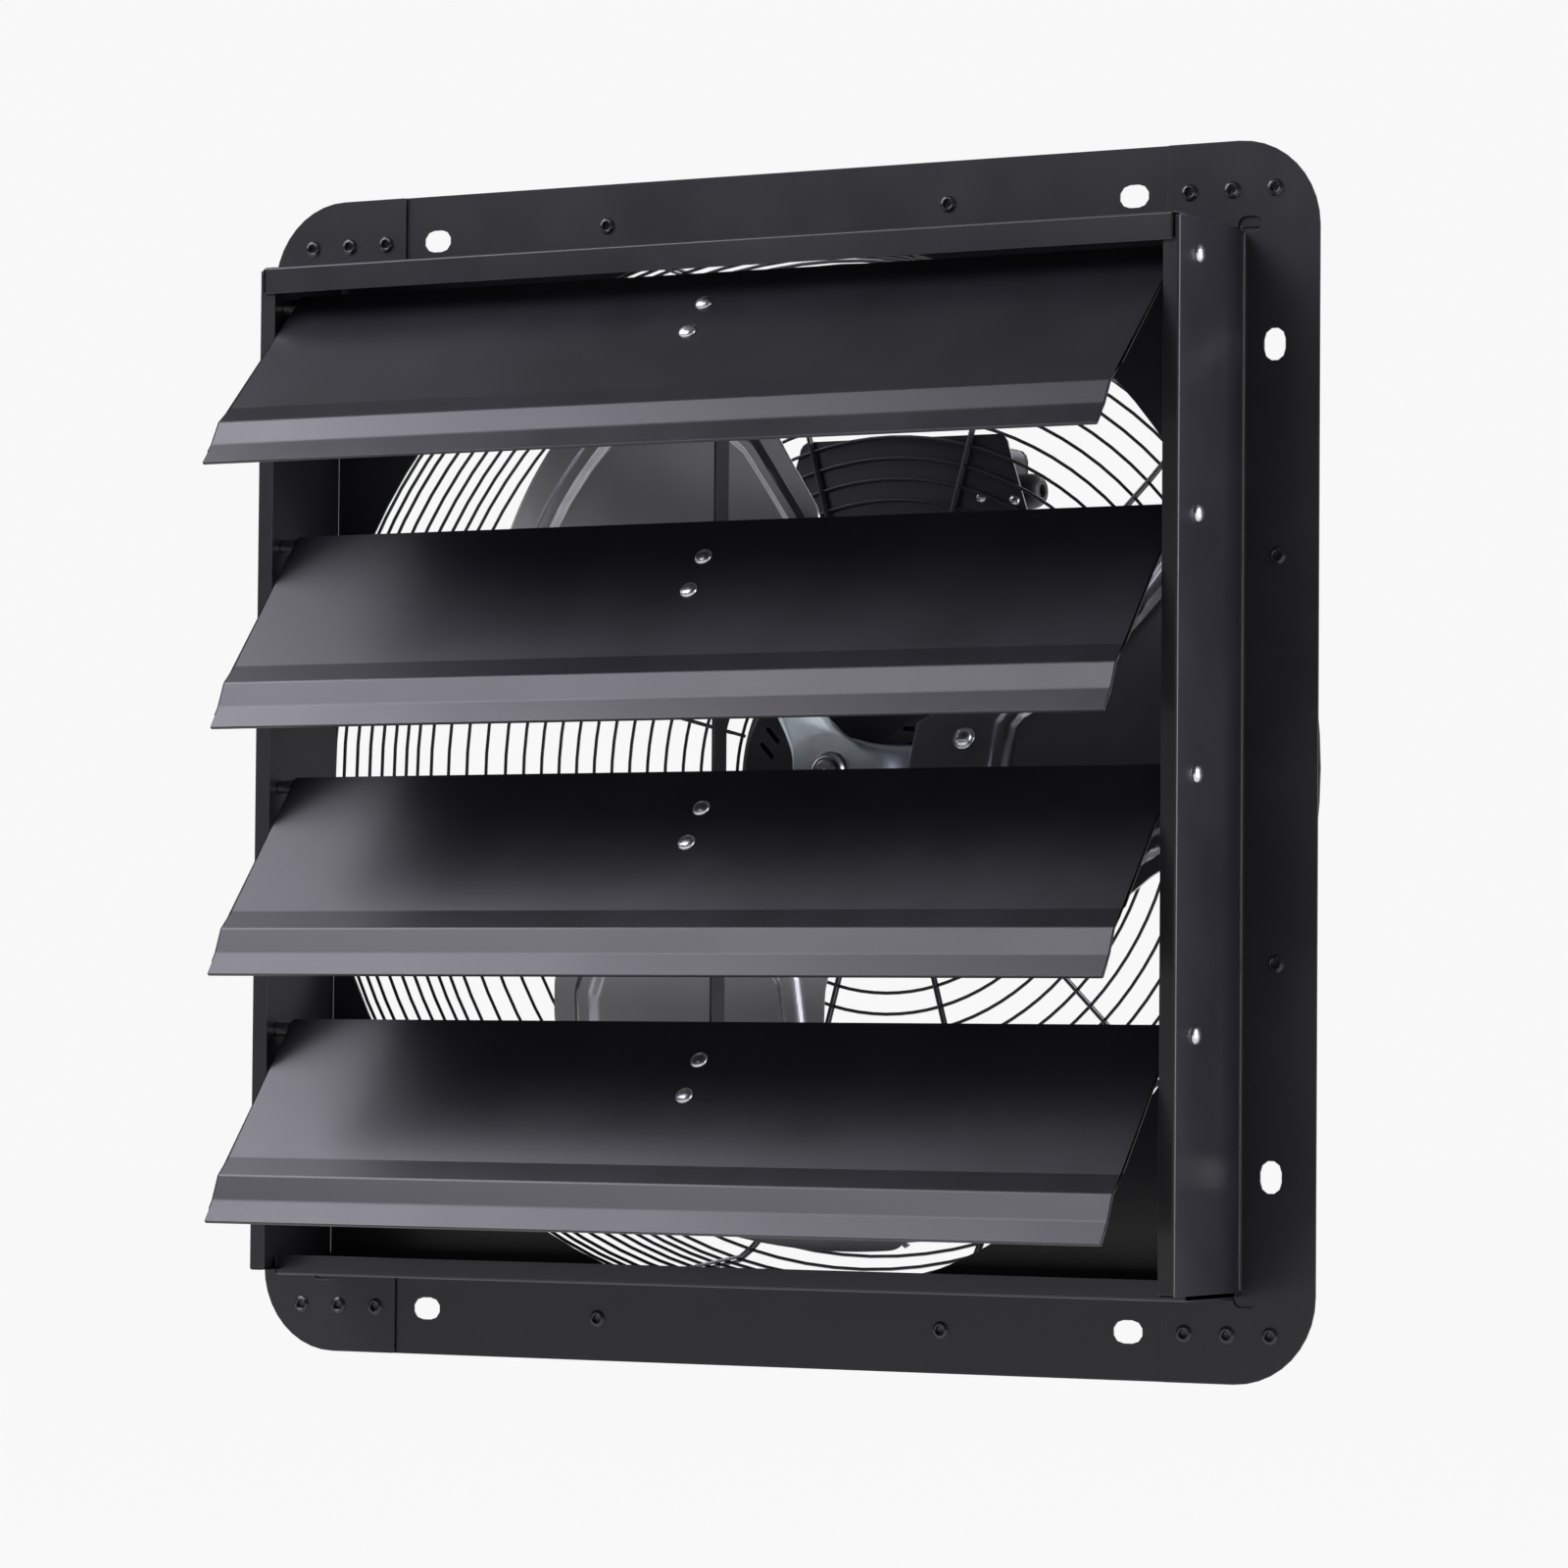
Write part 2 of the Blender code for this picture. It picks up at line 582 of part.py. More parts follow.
def louver_place(index):
    """From a louver's own (x, u, v) to its place: u down the sheet, v out of its face."""
    angle = louver_angle(index)
    down = Vector((0, -math.sin(angle), -math.cos(angle)))
    out = Vector((0, -math.cos(angle), math.sin(angle)))
    pivot = Vector((0, PIVOT_Y, louver_pivot_z(index)))
    return lambda x, u, v: Vector((x, 0, 0)) + pivot + down * u + out * v


def louver_profile():
    """Cross-section of the sheet: flat panel, crease, lip and a hem folded behind the lip's edge."""
    half = LOUVER_SHEET / 2
    line = [
        (PANEL_TOP_U, PANEL_V), (PANEL_END_U, PANEL_V), (CREASE_U, CREASE_V),
        (LIP_BEND_U, LIP_BEND_V), (LIP_END_U, LIP_END_V),
    ]
    slope = (LIP_END_V - LIP_BEND_V) / (LIP_END_U - LIP_BEND_U)
    hem = (LIP_END_U - HEM_HEIGHT, LIP_END_V - slope * HEM_HEIGHT - half)
    back = [(u, v - half) for u, v in line[:-1]]
    fold = [hem, (hem[0], hem[1] - LOUVER_SHEET), (LIP_END_U, LIP_END_V - half - LOUVER_SHEET)]
    return [(u, v + half) for u, v in line] + list(reversed(back + fold))


def louver(index, parent):
    name = f"louver_{index + 1}"
    placed = louver_place(index)
    half = LOUVER_HALF_WIDTH - LOUVER_SHEET / 2
    sheet = plate(louver_profile(), [], lambda u, v, h: placed(h - half, u, v), 2 * half)
    made = add_object(name, mesh_from(sheet, name), BLACK, parent)
    top = PANEL_TOP_U + LOUVER_SHEET / 2
    outline = [
        (PANEL_END_U - LOUVER_SHEET, PANEL_V), (top, PANEL_V), (top, EAR_CORNER_V),
        (EAR_HEEL_U, EAR_REAR_V), (EAR_SHOULDER_U, EAR_REAR_V),
    ]
    hole = circle((0, 0), PIN_RADIUS + CLEARANCE, 10)
    ears = []
    for side in (-1, 1):
        ears.append(plate(outline, [hole], lambda u, v, h: placed(side * (LOUVER_HALF_WIDTH - h), u, v),
                          LOUVER_SHEET))
    join(made, helper(name + "_ears", gathered(ears)))
    reach = PANEL_V + OVERRUN
    drills = [moved(rod(RIVET_HOLE_RADIUS, -reach, reach, 8), square_to_face(index, u))
              for u in louver_rivets_u()]
    join(made, helper(name + "_drill", gathered(drills)), "DIFFERENCE")


def louver_rivets_u():
    return [LOUVER_RIVET_U + i * LOUVER_RIVET_PITCH for i in range(LOUVER_RIVETS)]


def square_to_face(index, u):
    """Lays the Y axis square to a louver's face at its rivet line, -Y outwards."""
    placed = louver_place(index)
    out = placed(0, 0, 1) - placed(0, 0, 0)
    turn = Vector((0, -1, 0)).rotation_difference(out).to_matrix().to_4x4()
    return Matrix.Translation(placed(LOUVER_RIVET_X, u, 0)) @ turn


def link_spot(index):
    """The tie bar's pin on this louver, as (y, z)."""
    return PIVOT_Y + LINK_REACH_Y, louver_pivot_z(index) - LINK_DROP_Z


def link_in_louver(index):
    """The same pin as (u, v) in the louver's own plane."""
    angle = louver_angle(index)
    u = -LINK_REACH_Y * math.sin(angle) + LINK_DROP_Z * math.cos(angle)
    v = -LINK_REACH_Y * math.cos(angle) - LINK_DROP_Z * math.sin(angle)
    return u, v


def louver_bracket(index, parent):
    """Angle bracket behind the sheet: a riveted foot and a web that reaches back to the tie bar."""
    name = f"louver_bracket_{index + 1}"
    placed = louver_place(index)
    seat = PANEL_V - LOUVER_SHEET / 2 - CLEARANCE
    far_x = BRACKET_EDGE_X + BRACKET_WIDTH
    foot = [(x, u) for x, u in (
        (BRACKET_EDGE_X, BRACKET_TOP_U), (BRACKET_EDGE_X, BRACKET_END_U), (far_x, BRACKET_END_U),
        (far_x, BRACKET_TOP_U),
    )]
    holes = [circle((LOUVER_RIVET_X, u), RIVET_HOLE_RADIUS, 8) for u in louver_rivets_u()]
    bm = plate(foot, holes, lambda x, u, h: placed(x, u, seat - h), BRACKET_SHEET)
    bracket = add_object(name, mesh_from(bm, name), BLACK, parent)
    eye = link_in_louver(index)
    heading = math.atan2(eye[1] - seat, eye[0] - BRACKET_TOP_U)
    eye_arc = arc(eye, BRACKET_EYE_RADIUS, heading - math.pi / 2, heading + math.pi / 2, 8)
    root = seat - BRACKET_SHEET / 2
    web = [(BRACKET_END_U - BRACKET_WEB_INSET, root), (BRACKET_TOP_U + BRACKET_WEB_INSET, root), *eye_arc]
    near_x = BRACKET_EDGE_X + BRACKET_WEB_INSET
    hole = circle(eye, LINK_PIN_RADIUS + CLEARANCE, 10)
    bm = plate(web, [hole], lambda u, v, h: placed(near_x + h, u, v), BRACKET_SHEET)
    join(bracket, helper(name + "_web", bm))


def tie_bar(parent):
    """Flat bar beside the bracket webs. The top hole is a wide slot, the others are round."""
    outer = BRACKET_EDGE_X - CLEARANCE - TIE_BAR_THICKNESS
    y, top = link_spot(0)
    bottom = link_spot(LOUVER_COUNT - 1)[1] - TIE_BAR_OVERHANG
    half = TIE_BAR_WIDTH / 2
    lean = math.asin(half / TIE_BAR_PAD_RADIUS)
    centre = (y + (LINK_SLOT_BACK - LINK_SLOT_FRONT) / 2, top + (LINK_SLOT_UP - LINK_SLOT_DOWN) / 2)
    pad = arc(centre, TIE_BAR_PAD_RADIUS, lean - math.pi / 2, 3 * math.pi / 2 - lean, 14)
    outline = [(y - half, bottom), (y + half, bottom), *pad]
    holes = [circle(link_spot(i), LINK_PIN_RADIUS + CLEARANCE) for i in range(1, LOUVER_COUNT)]
    slot_start = (y - LINK_SLOT_FRONT, top - LINK_SLOT_DOWN)
    holes.append(capsule(slot_start, (y + LINK_SLOT_BACK, top + LINK_SLOT_UP), LINK_SLOT_RADIUS))
    add_object("tie_bar", mesh_from(plate(outline, holes, facing_x(outer), TIE_BAR_THICKNESS), "tie_bar"),
               BLACK, parent)


def link_pin(index, parent):
    name = f"link_pin_{index + 1}"
    y, z = link_spot(index)
    left = BRACKET_EDGE_X - 2 * CLEARANCE - TIE_BAR_THICKNESS
    right = BRACKET_EDGE_X + BRACKET_WEB_INSET + BRACKET_SHEET + CLEARANCE
    head = LINK_WIDE_HEAD_RADIUS if index == 0 else LINK_HEAD_RADIUS
    profile = [
        (0, left - LINK_HEAD_HEIGHT), (head - LINK_HEAD_HEIGHT / 2, left - LINK_HEAD_HEIGHT), (head, left),
        (LINK_PIN_RADIUS, left), (LINK_PIN_RADIUS, right), (LINK_HEAD_RADIUS, right),
        (LINK_HEAD_RADIUS, right + LINK_HEAD_HEIGHT), (0, right + LINK_HEAD_HEIGHT),
    ]
    pin = moved(turned(profile, 8), at(0, y, z) @ Matrix.Rotation(-math.pi / 2, 4, "Z"))
    add_object(name, mesh_from(pin, name, smooth=True), ZINC, parent)


def pivot_pin(index, side, label):
    """Dome-headed shoulder pin through a side wall into a louver's end ear."""
    name = f"pivot_pin_{index + 1}_{label}"
    wall = BOX_HALF_WIDTH
    ear = LOUVER_HALF_WIDTH
    bevel = PIN_HEAD_HEIGHT / 2
    head = wall + CLEARANCE
    profile = [
        (0, head + PIN_HEAD_HEIGHT), (PIN_HEAD_RADIUS - bevel, head + PIN_HEAD_HEIGHT - bevel / 3),
        (PIN_HEAD_RADIUS, head), (PIN_RADIUS, head),
        (PIN_RADIUS, wall - SHEET - CLEARANCE), (PIN_SHOULDER_RADIUS, wall - SHEET - CLEARANCE),
        (PIN_SHOULDER_RADIUS, ear + CLEARANCE), (PIN_RADIUS, ear + CLEARANCE),
        (PIN_RADIUS, ear - LOUVER_SHEET - PIN_TAIL_LENGTH), (0, ear - LOUVER_SHEET - PIN_TAIL_LENGTH),
    ]
    turn = at(0, PIVOT_Y, louver_pivot_z(index)) @ Matrix.Rotation(-side * math.pi / 2, 4, "Z")
    add_object(name, mesh_from(moved(turned(profile, 8), turn), name, smooth=True), ZINC)


# Wire guard

def guard_line():
    """The guard's wall from mouth to centre as points (radius, y)."""
    waist = (GUARD_WAIST_RADIUS, FLANGE_FRONT_Y + GUARD_WAIST_DEPTH)
    corner = (GUARD_CORNER_RADIUS, GUARD_BACK_Y)
    flat = (GUARD_BACK_RADIUS, GUARD_BACK_Y)
    line = [(GUARD_MOUTH_RADIUS, GUARD_MOUTH_Y)]
    for i in range(ROUND_STEPS + 1):
        t = i / ROUND_STEPS
        weights = ((1 - t) ** 2, 2 * t * (1 - t), t ** 2)
        line.append(tuple(sum(w * p[k] for w, p in zip(weights, (waist, corner, flat))) for k in (0, 1)))
    return line + [(GUARD_INNER_RADIUS, GUARD_BACK_Y)]


def guard_point(along):
    """The point (radius, y) this far along the guard's wall from its mouth."""
    line = guard_line()
    for start, end in zip(line, line[1:]):
        step = math.dist(start, end)
        if along <= step or end == line[-1]:
            share = along / step
            return tuple(a + (b - a) * share for a, b in zip(start, end))
        along -= step


def wire_net(rings):
    """Rings and paired struts as flat bands, each ring starting at a length along the guard's wall."""
    bm = bmesh.new()
    rows = []
    sector = 2 * math.pi / GUARD_STRUTS
    for along in [a for ring in rings for a in (ring, ring + WIRE)]:
        radius, y = guard_point(along)
        band = math.asin(STRUT_PAIR_WIDTH / 2 / radius)
        row = []
        for strut in range(GUARD_STRUTS):
            start = GUARD_STRUT_ANGLE + strut * sector - band
            gap = (sector - 2 * band) / RING_STEPS
            for angle in [start] + [start + 2 * band + gap * i for i in range(RING_STEPS)]:
                row.append(bm.verts.new((radius * math.cos(angle), y, radius * math.sin(angle))))
        rows.append(row)
    count = len(rows[0])
    for index, (near, far) in enumerate(zip(rows, rows[1:])):
        strut_only = index % 2
        for c in range(0, count, RING_STEPS + 1 if strut_only else 1):
            after = (c + 1) % count
            bm.faces.new((near[c], near[after], far[after], far[c]))
    return bm


def guard_foot(x, z, seat):
    """A strap welded under the guard's first ring, out to a rivet in the flange."""
    reach = math.hypot(x, z)
    out = (x / reach, z / reach)
    ring = reach - GUARD_MOUTH_RADIUS
    level = GUARD_MOUTH_Y + WIRE / 2 - FOOT_THICKNESS / 2
    heel = [(FOOT_HEEL, seat), (-RIVET_HOLE_RADIUS - FOOT_STEP, seat)]
    toe = [(-RIVET_HOLE_RADIUS - 2 * FOOT_STEP, level), (-ring - WIRE / 3, level)]
    bottom = heel + toe
    profile = bottom + [(a, y + FOOT_THICKNESS) for a, y in reversed(bottom)]

    def placed(a, y, h):
        side = h - FOOT_WIDTH / 2
        return x + out[0] * a - out[1] * side, y, z + out[1] * a + out[0] * side

    return plate(profile, [], placed, FOOT_WIDTH)


def guard():
    line = guard_line()
    waist = math.dist(line[0], line[1])
    total = sum(math.dist(a, b) for a, b in zip(line, line[1:]))
    pitch = (waist - WIRE) / (SIDE_RINGS - 1)
    side = wire_net([pitch * i for i in range(SIDE_RINGS)])
    side = add_object("guard_side", mesh_from(side, "guard_side"), BLACK)
    thicken(side, WIRE)
    feet = []
    drills = []
    for sx, sz in corner_signs():
        for x, z, seat in (
            (EDGE_RIVET_ALONG, EDGE_RIVET_ACROSS, STRIP_REAR_Y + CLEARANCE),
            (EDGE_RIVET_ACROSS, EDGE_RIVET_ALONG, FLANGE_REAR_Y + CLEARANCE),
        ):
            feet.append(guard_foot(sx * x, sz * z, seat))
            drills.append(moved(rod(RIVET_HOLE_RADIUS, FLANGE_FRONT_Y, GUARD_MOUTH_Y + OVERRUN, 8),
                                at(sx * x, 0, sz * z)))
    join(side, helper("guard_feet", gathered(feet)))
    join(side, helper("guard_feet_drill", gathered(drills)), "DIFFERENCE")
    start = waist + WIRE / 2
    pitch = (total - WIRE - start) / (BACK_RINGS - 1)
    rear = wire_net([start + pitch * i for i in range(BACK_RINGS)])
    thicken(add_object("guard_back", mesh_from(rear, "guard_back"), BLACK), WIRE)


# Impeller

def blade_surface(out, side):
    """Depth of the blade's middle surface: its pitch flattens from root to tip."""
    share = (out - ROOT_FLAT_RADIUS) / (BLADE_TIP_RADIUS - ROOT_FLAT_RADIUS)
    share = min(max(share, 0), 1)
    return ROTOR_Y + math.tan(ROOT_PITCH + (TIP_PITCH - ROOT_PITCH) * share) * side


def blade_point(row, share):
    """A point of the blade's plan. Rows are straight at the root and bend to an arc at the tip."""
    ra, sa, rb, sb = [value * BLADE_TIP_RADIUS for value in BLADE_ROW_SHARES[row][:4]]
    straight = (ra + (rb - ra) * share, sa + (sb - sa) * share)
    radius = math.hypot(ra, sa) + (math.hypot(rb, sb) - math.hypot(ra, sa)) * share
    angle = math.atan2(sa, ra) + (math.atan2(sb, rb) - math.atan2(sa, ra)) * share
    curved = (radius * math.cos(angle), radius * math.sin(angle))
    bend = (row / (len(BLADE_ROW_SHARES) - 1)) ** 2
    return tuple(s + (c - s) * bend for s, c in zip(straight, curved))


def blade_sheet():
    """The blade's middle surface with its raised rib, on the first arm."""
    bm = bmesh.new()
    grid = []
    legs = (2, 6)
    for row, shares in enumerate(BLADE_ROW_SHARES):
        width = math.dist(blade_point(row, 0), blade_point(row, 1))
        half = RIB_HALF_WIDTH / width
        first, last = shares[4:]
        stops = [0, first - half, first, first + half, (first + last) / 2]
        stops += [last - half, last, last + half, 1]
        line = []
        for column, stop in enumerate(stops):
            out, side = blade_point(row, stop)
            on_leg = RIB_FIRST_ROW <= row <= RIB_LAST_ROW and column in legs
            across = row in (RIB_FIRST_ROW, RIB_LAST_ROW) and legs[0] <= column <= legs[1]
            lift = RIB_HEIGHT if on_leg or across else 0
            line.append(bm.verts.new((out, blade_surface(out, side) - lift, side)))
        grid.append(line)
    for near, far in zip(grid, grid[1:]):
        for c in range(len(near) - 1):
            bm.faces.new((near[c], near[c + 1], far[c + 1], far[c]))
    bmesh.ops.bevel(bm, geom=[grid[-1][-1]], offset=TIP_CORNER_RADIUS, segments=3, profile=0.5,
                    affect="VERTICES")
    return bm


def arm_turn(index):
    """Turns the first arm, along +X, to its own place about the fan's axis."""
    return Matrix.Rotation(-index * 2 * math.pi / BLADE_COUNT, 4, "Y")


def bolt_axes():
    """The bolts' places on the first arm, with their Y axis square to the pitched root."""
    tilt = Matrix.Rotation(-ROOT_PITCH, 4, "X")
    return [at(BOLT_RADIAL, blade_surface(BOLT_RADIAL, side), side) @ tilt
            for side in (-BOLT_SIDE, BOLT_SIDE)]


def bolt_drills(name, turns):
    reach = BOLT_HEAD_HEIGHT * 2
    drills = [moved(rod(BOLT_RADIUS + CLEARANCE, -reach, reach), turn @ axis)
              for turn in turns for axis in bolt_axes()]
    return helper(name, gathered(drills))


def blade(index, parent):
    name = f"blade_{index + 1}"
    turn = arm_turn(index)
    made = add_object(name, mesh_from(moved(blade_sheet(), turn), name, smooth=True), BLADE_GREY, parent)
    thicken(made, BLADE_SHEET)
    join(made, bolt_drills(name + "_drill", [turn]), "DIFFERENCE")


def blade_bolt(number, matrix, parent):
    """Hex-headed bolt through a blade root and its spider arm, with its nut behind."""
    name = f"blade_bolt_{number}"
    front = -(BLADE_SHEET / 2 + CLEARANCE)
    rear = BLADE_SHEET / 2 + 2 * CLEARANCE + SPIDER_SHEET
    profile = [
        (0, front - BOLT_HEAD_HEIGHT), (BOLT_HEAD_RADIUS, front - BOLT_HEAD_HEIGHT),
        (BOLT_HEAD_RADIUS, front), (BOLT_RADIUS, front), (BOLT_RADIUS, rear), (BOLT_HEAD_RADIUS, rear),
        (BOLT_HEAD_RADIUS, rear + BOLT_TAIL), (0, rear + BOLT_TAIL),
    ]
    add_object(name, mesh_from(moved(turned(profile, 6), matrix), name), ZINC, parent)


def arm_back():
    """Distance from the blade's middle surface to the spider arm's, square to the root."""
    return BLADE_SHEET / 2 + CLEARANCE + SPIDER_SHEET / 2


def spider_height(out, side, share):
    """Flat at the hub (share 0), pitched like the blade root along the arm (share 1)."""
    hub = ROTOR_Y + arm_back() + SPIDER_HUB_SINK
    arm = blade_surface(out, side) + arm_back() / math.cos(ROOT_PITCH)
    return hub + (arm - hub) * share


def hub_spider(parent):
    """Pressed three-arm spider, one third of it repeated about the axis."""
    columns = 6
    across = [2 * k / columns - 1 for k in range(columns + 1)]
    stations = (
        (SPIDER_NECK_REACH, SPIDER_NECK_HALF_WIDTH, SPIDER_NECK_SHARE),
        (SPIDER_ARM_REACH, SPIDER_ARM_HALF_WIDTH, 1),
        (SPIDER_PAD_REACH, SPIDER_PAD_HALF_WIDTH, 1),
        (SPIDER_LENGTH, SPIDER_PAD_HALF_WIDTH, 1),
    )
    whole = bmesh.new()
    for index in range(BLADE_COUNT):
        rows = []
        for radius in (BUSH_RADIUS + CLEARANCE, SPIDER_HUB_RADIUS):
            angles = [s * math.pi / BLADE_COUNT for s in across]
            rows.append([(radius * math.cos(a), radius * math.sin(a), 0) for a in angles])
        for reach, half, share in stations:
            rows.append([(reach, half * s, share) for s in across])
        grid = [[whole.verts.new((x, spider_height(x, z, share), z)) for x, z, share in row]
                for row in rows]
        bmesh.ops.transform(whole, matrix=arm_turn(index), verts=[v for line in grid for v in line])
        for near, far in zip(grid, grid[1:]):
            for c in range(columns):
                whole.faces.new((near[c], near[c + 1], far[c + 1], far[c]))
    spider = add_object("hub_spider", mesh_from(whole, "hub_spider", smooth=True), SPIDER_ZINC, parent)
    thicken(spider, SPIDER_SHEET)
    turns = [arm_turn(i) for i in range(BLADE_COUNT)]
    join(spider, bolt_drills("spider_drill", turns), "DIFFERENCE")


def hub_bush(parent):
    """Bush in the spider's hub, with a collar behind that takes the set screw."""
    face = spider_height(0, 0, 0) - SPIDER_SHEET / 2
    collar = face + SPIDER_SHEET + CLEARANCE
    bore = SHAFT_RADIUS + CLEARANCE
    profile = [
        (bore, face - BUSH_NOSE), (BUSH_RADIUS, face - BUSH_NOSE), (BUSH_RADIUS, collar),
        (BUSH_FLANGE_RADIUS, collar), (BUSH_FLANGE_RADIUS, collar + BUSH_FLANGE_LENGTH),
        (bore, collar + BUSH_FLANGE_LENGTH),
    ]
    bush = add_object("hub_bush", mesh_from(turned(profile), "hub_bush", smooth=True), ZINC, parent)
    axis = at(0, collar + BUSH_FLANGE_LENGTH / 2, 0) @ Matrix.Rotation(math.pi / 2, 4, "X")
    drill = rod(SET_SCREW_RADIUS + CLEARANCE, SHAFT_RADIUS, BUSH_FLANGE_RADIUS + OVERRUN, 8)
    join(bush, helper("bush_drill", moved(drill, axis)), "DIFFERENCE")
    screw = moved(rod(SET_SCREW_RADIUS, SHAFT_RADIUS + CLEARANCE, BUSH_FLANGE_RADIUS, 8), axis)
    add_object("hub_set_screw", mesh_from(screw, "hub_set_screw"), STEEL, parent)
    shaft = rod(SHAFT_RADIUS, face - BUSH_NOSE - SHAFT_NOSE, MOTOR_REAR_Y - CLEARANCE, 20)
    add_object("motor_shaft", mesh_from(shaft, "motor_shaft", smooth=True), STEEL, parent)


# Motor

def bell(name, face, inward):
    """A cup with a rounded edge and a bearing seat. inward is 1 when the cup opens towards +Y."""
    hole = SHAFT_RADIUS + CLEARANCE
    seat = BEARING_RADIUS + CLEARANCE
    inner_face = face + inward * MOTOR_WALL
    lip = face + inward * BELL_LENGTH
    seat_end = inner_face + inward * BEARING_LENGTH
    inner = MOTOR_RADIUS - MOTOR_WALL
    bend = MOTOR_RADIUS - MOTOR_EDGE_RADIUS
    edge = [(r, face + inward * (MOTOR_EDGE_RADIUS - rise))
            for r, rise in arc((bend, 0), MOTOR_EDGE_RADIUS, math.pi / 2, 0, 3)]
    profile = [
        (hole, face), *edge, (MOTOR_RADIUS, lip), (inner, lip), (inner, face + inward * MOTOR_EDGE_RADIUS),
        (bend, inner_face), (seat + MOTOR_WALL, inner_face), (seat + MOTOR_WALL, seat_end),
        (seat, seat_end), (seat, inner_face), (hole, inner_face),
    ]
    return add_object(name, mesh_from(turned(profile, 24), name, smooth=True), BLACK)


def bell_slots(face):
    """Oblique vent slots in a ring, as cutters."""
    cuts = []
    for index in range(BELL_SLOTS):
        angle = index * 2 * math.pi / BELL_SLOTS
        centre = (BELL_SLOT_RADIUS * math.cos(angle), BELL_SLOT_RADIUS * math.sin(angle))
        outline = slot(centre, BELL_SLOT_LENGTH, BELL_SLOT_WIDTH, angle + BELL_SLOT_TURN)
        cuts.append(plate(outline[::2], [], facing_y(face - OVERRUN), MOTOR_WALL + 2 * OVERRUN))
    return helper("bell_slots", gathered(cuts))


def stud_spots(count, circle_radius):
    turns = [math.pi / 4 + i * 2 * math.pi / count for i in range(count)]
    return [(circle_radius * math.cos(a), circle_radius * math.sin(a)) for a in turns]


def stud(x, z, foot, seat, direction):
    """A stud from inside its carrier at foot to a nut that starts at seat."""
    far = seat + direction * STUD_NUT_HEIGHT
    profile = [(0, foot), (STUD_RADIUS, foot), (STUD_RADIUS, seat), (STUD_NUT_RADIUS, seat),
               (STUD_NUT_RADIUS, far), (0, far)]
    return moved(turned(profile, 6), at(x, 0, z))


def motor():
    front = bell("motor_front_bell", MOTOR_FRONT_Y, 1)
    join(front, bell_slots(MOTOR_FRONT_Y), "DIFFERENCE")
    rear = bell("motor_rear_bell", MOTOR_REAR_Y, -1)
    foot = MOTOR_REAR_Y - MOTOR_WALL / 2
    seat = PLATE_FRONT_Y + PLATE_SHEET + CLEARANCE
    studs = [stud(x, z, foot, seat, 1) for x, z in stud_spots(MOTOR_STUDS, MOTOR_STUD_CIRCLE)]
    join(rear, helper("motor_studs", gathered(studs)))
    core = tube(STATOR_BORE_RADIUS, MOTOR_RADIUS, STATOR_FRONT_Y, STATOR_REAR_Y, 24)
    add_object("stator_core", mesh_from(core, "stator_core", smooth=True), IRON)
    front_end = STATOR_FRONT_Y - CLEARANCE
    rear_end = STATOR_REAR_Y + CLEARANCE
    for name, start in (("winding_front", front_end - WINDING_LENGTH), ("winding_rear", rear_end)):
        coil = tube(WINDING_BORE_RADIUS, WINDING_RADIUS, start, start + WINDING_LENGTH, 20)
        add_object(name, mesh_from(coil, name, smooth=True), COPPER)
    inside = MOTOR_WALL + CLEARANCE
    for name, start in (
        ("bearing_front", MOTOR_FRONT_Y + inside), ("bearing_rear", MOTOR_REAR_Y - inside - BEARING_LENGTH),
    ):
        race = tube(SHAFT_RADIUS + CLEARANCE, BEARING_RADIUS, start, start + BEARING_LENGTH, 20)
        add_object(name, mesh_from(race, name, smooth=True), STEEL)


def rotor_core(parent):
    middle = (STATOR_FRONT_Y + STATOR_REAR_Y) / 2
    half = ROTOR_CORE_LENGTH / 2
    core = tube(SHAFT_RADIUS + CLEARANCE, ROTOR_CORE_RADIUS, middle - half, middle + half)
    add_object("rotor_core", mesh_from(core, "rotor_core", smooth=True), IRON, parent)


def motor_plate():
    """Round plate the motor is bolted to, in front of the guard's inner rings."""
    gap = STUD_RADIUS + CLEARANCE
    spots = stud_spots(MOTOR_STUDS, MOTOR_STUD_CIRCLE) + stud_spots(CLAMP_STUDS, CLAMP_STUD_CIRCLE)
    holes = [circle(spot, gap, 8) for spot in spots]
    holes.append(circle((0, 0), BEARING_RADIUS, 16))
    bm = plate(circle((0, 0), PLATE_RADIUS, 36), holes, facing_y(PLATE_FRONT_Y), PLATE_SHEET)
    add_object("motor_plate", mesh_from(bm, "motor_plate"), BLACK)


def clamp_ring():
    """Ring behind the guard, whose studs pass forward through the motor plate to their nuts."""
    rim = circle((0, 0), CLAMP_RING_RADIUS, 36)
    bm = plate(rim, [circle((0, 0), CLAMP_RING_BORE_RADIUS, 24)], facing_y(CLAMP_RING_FRONT_Y), PLATE_SHEET)
    ring = add_object("clamp_ring", mesh_from(bm, "clamp_ring"), BLACK)
    foot = CLAMP_RING_FRONT_Y + PLATE_SHEET / 2
    seat = PLATE_FRONT_Y - CLEARANCE
    studs = [stud(x, z, foot, seat, -1) for x, z in stud_spots(CLAMP_STUDS, CLAMP_STUD_CIRCLE)]
    join(ring, helper("clamp_studs", gathered(studs)))


# Control box

def rounded_box(low, high):
    """A box with its four edges along Y rounded."""
    bm = box(low, high)
    along = [e for e in bm.edges if e.verts[0].co.xz == e.verts[1].co.xz]
    bmesh.ops.bevel(bm, geom=along, offset=BOX_CORNER, segments=BOX_CORNER_STEPS, affect="EDGES",
                    profile=0.5)
    return bm


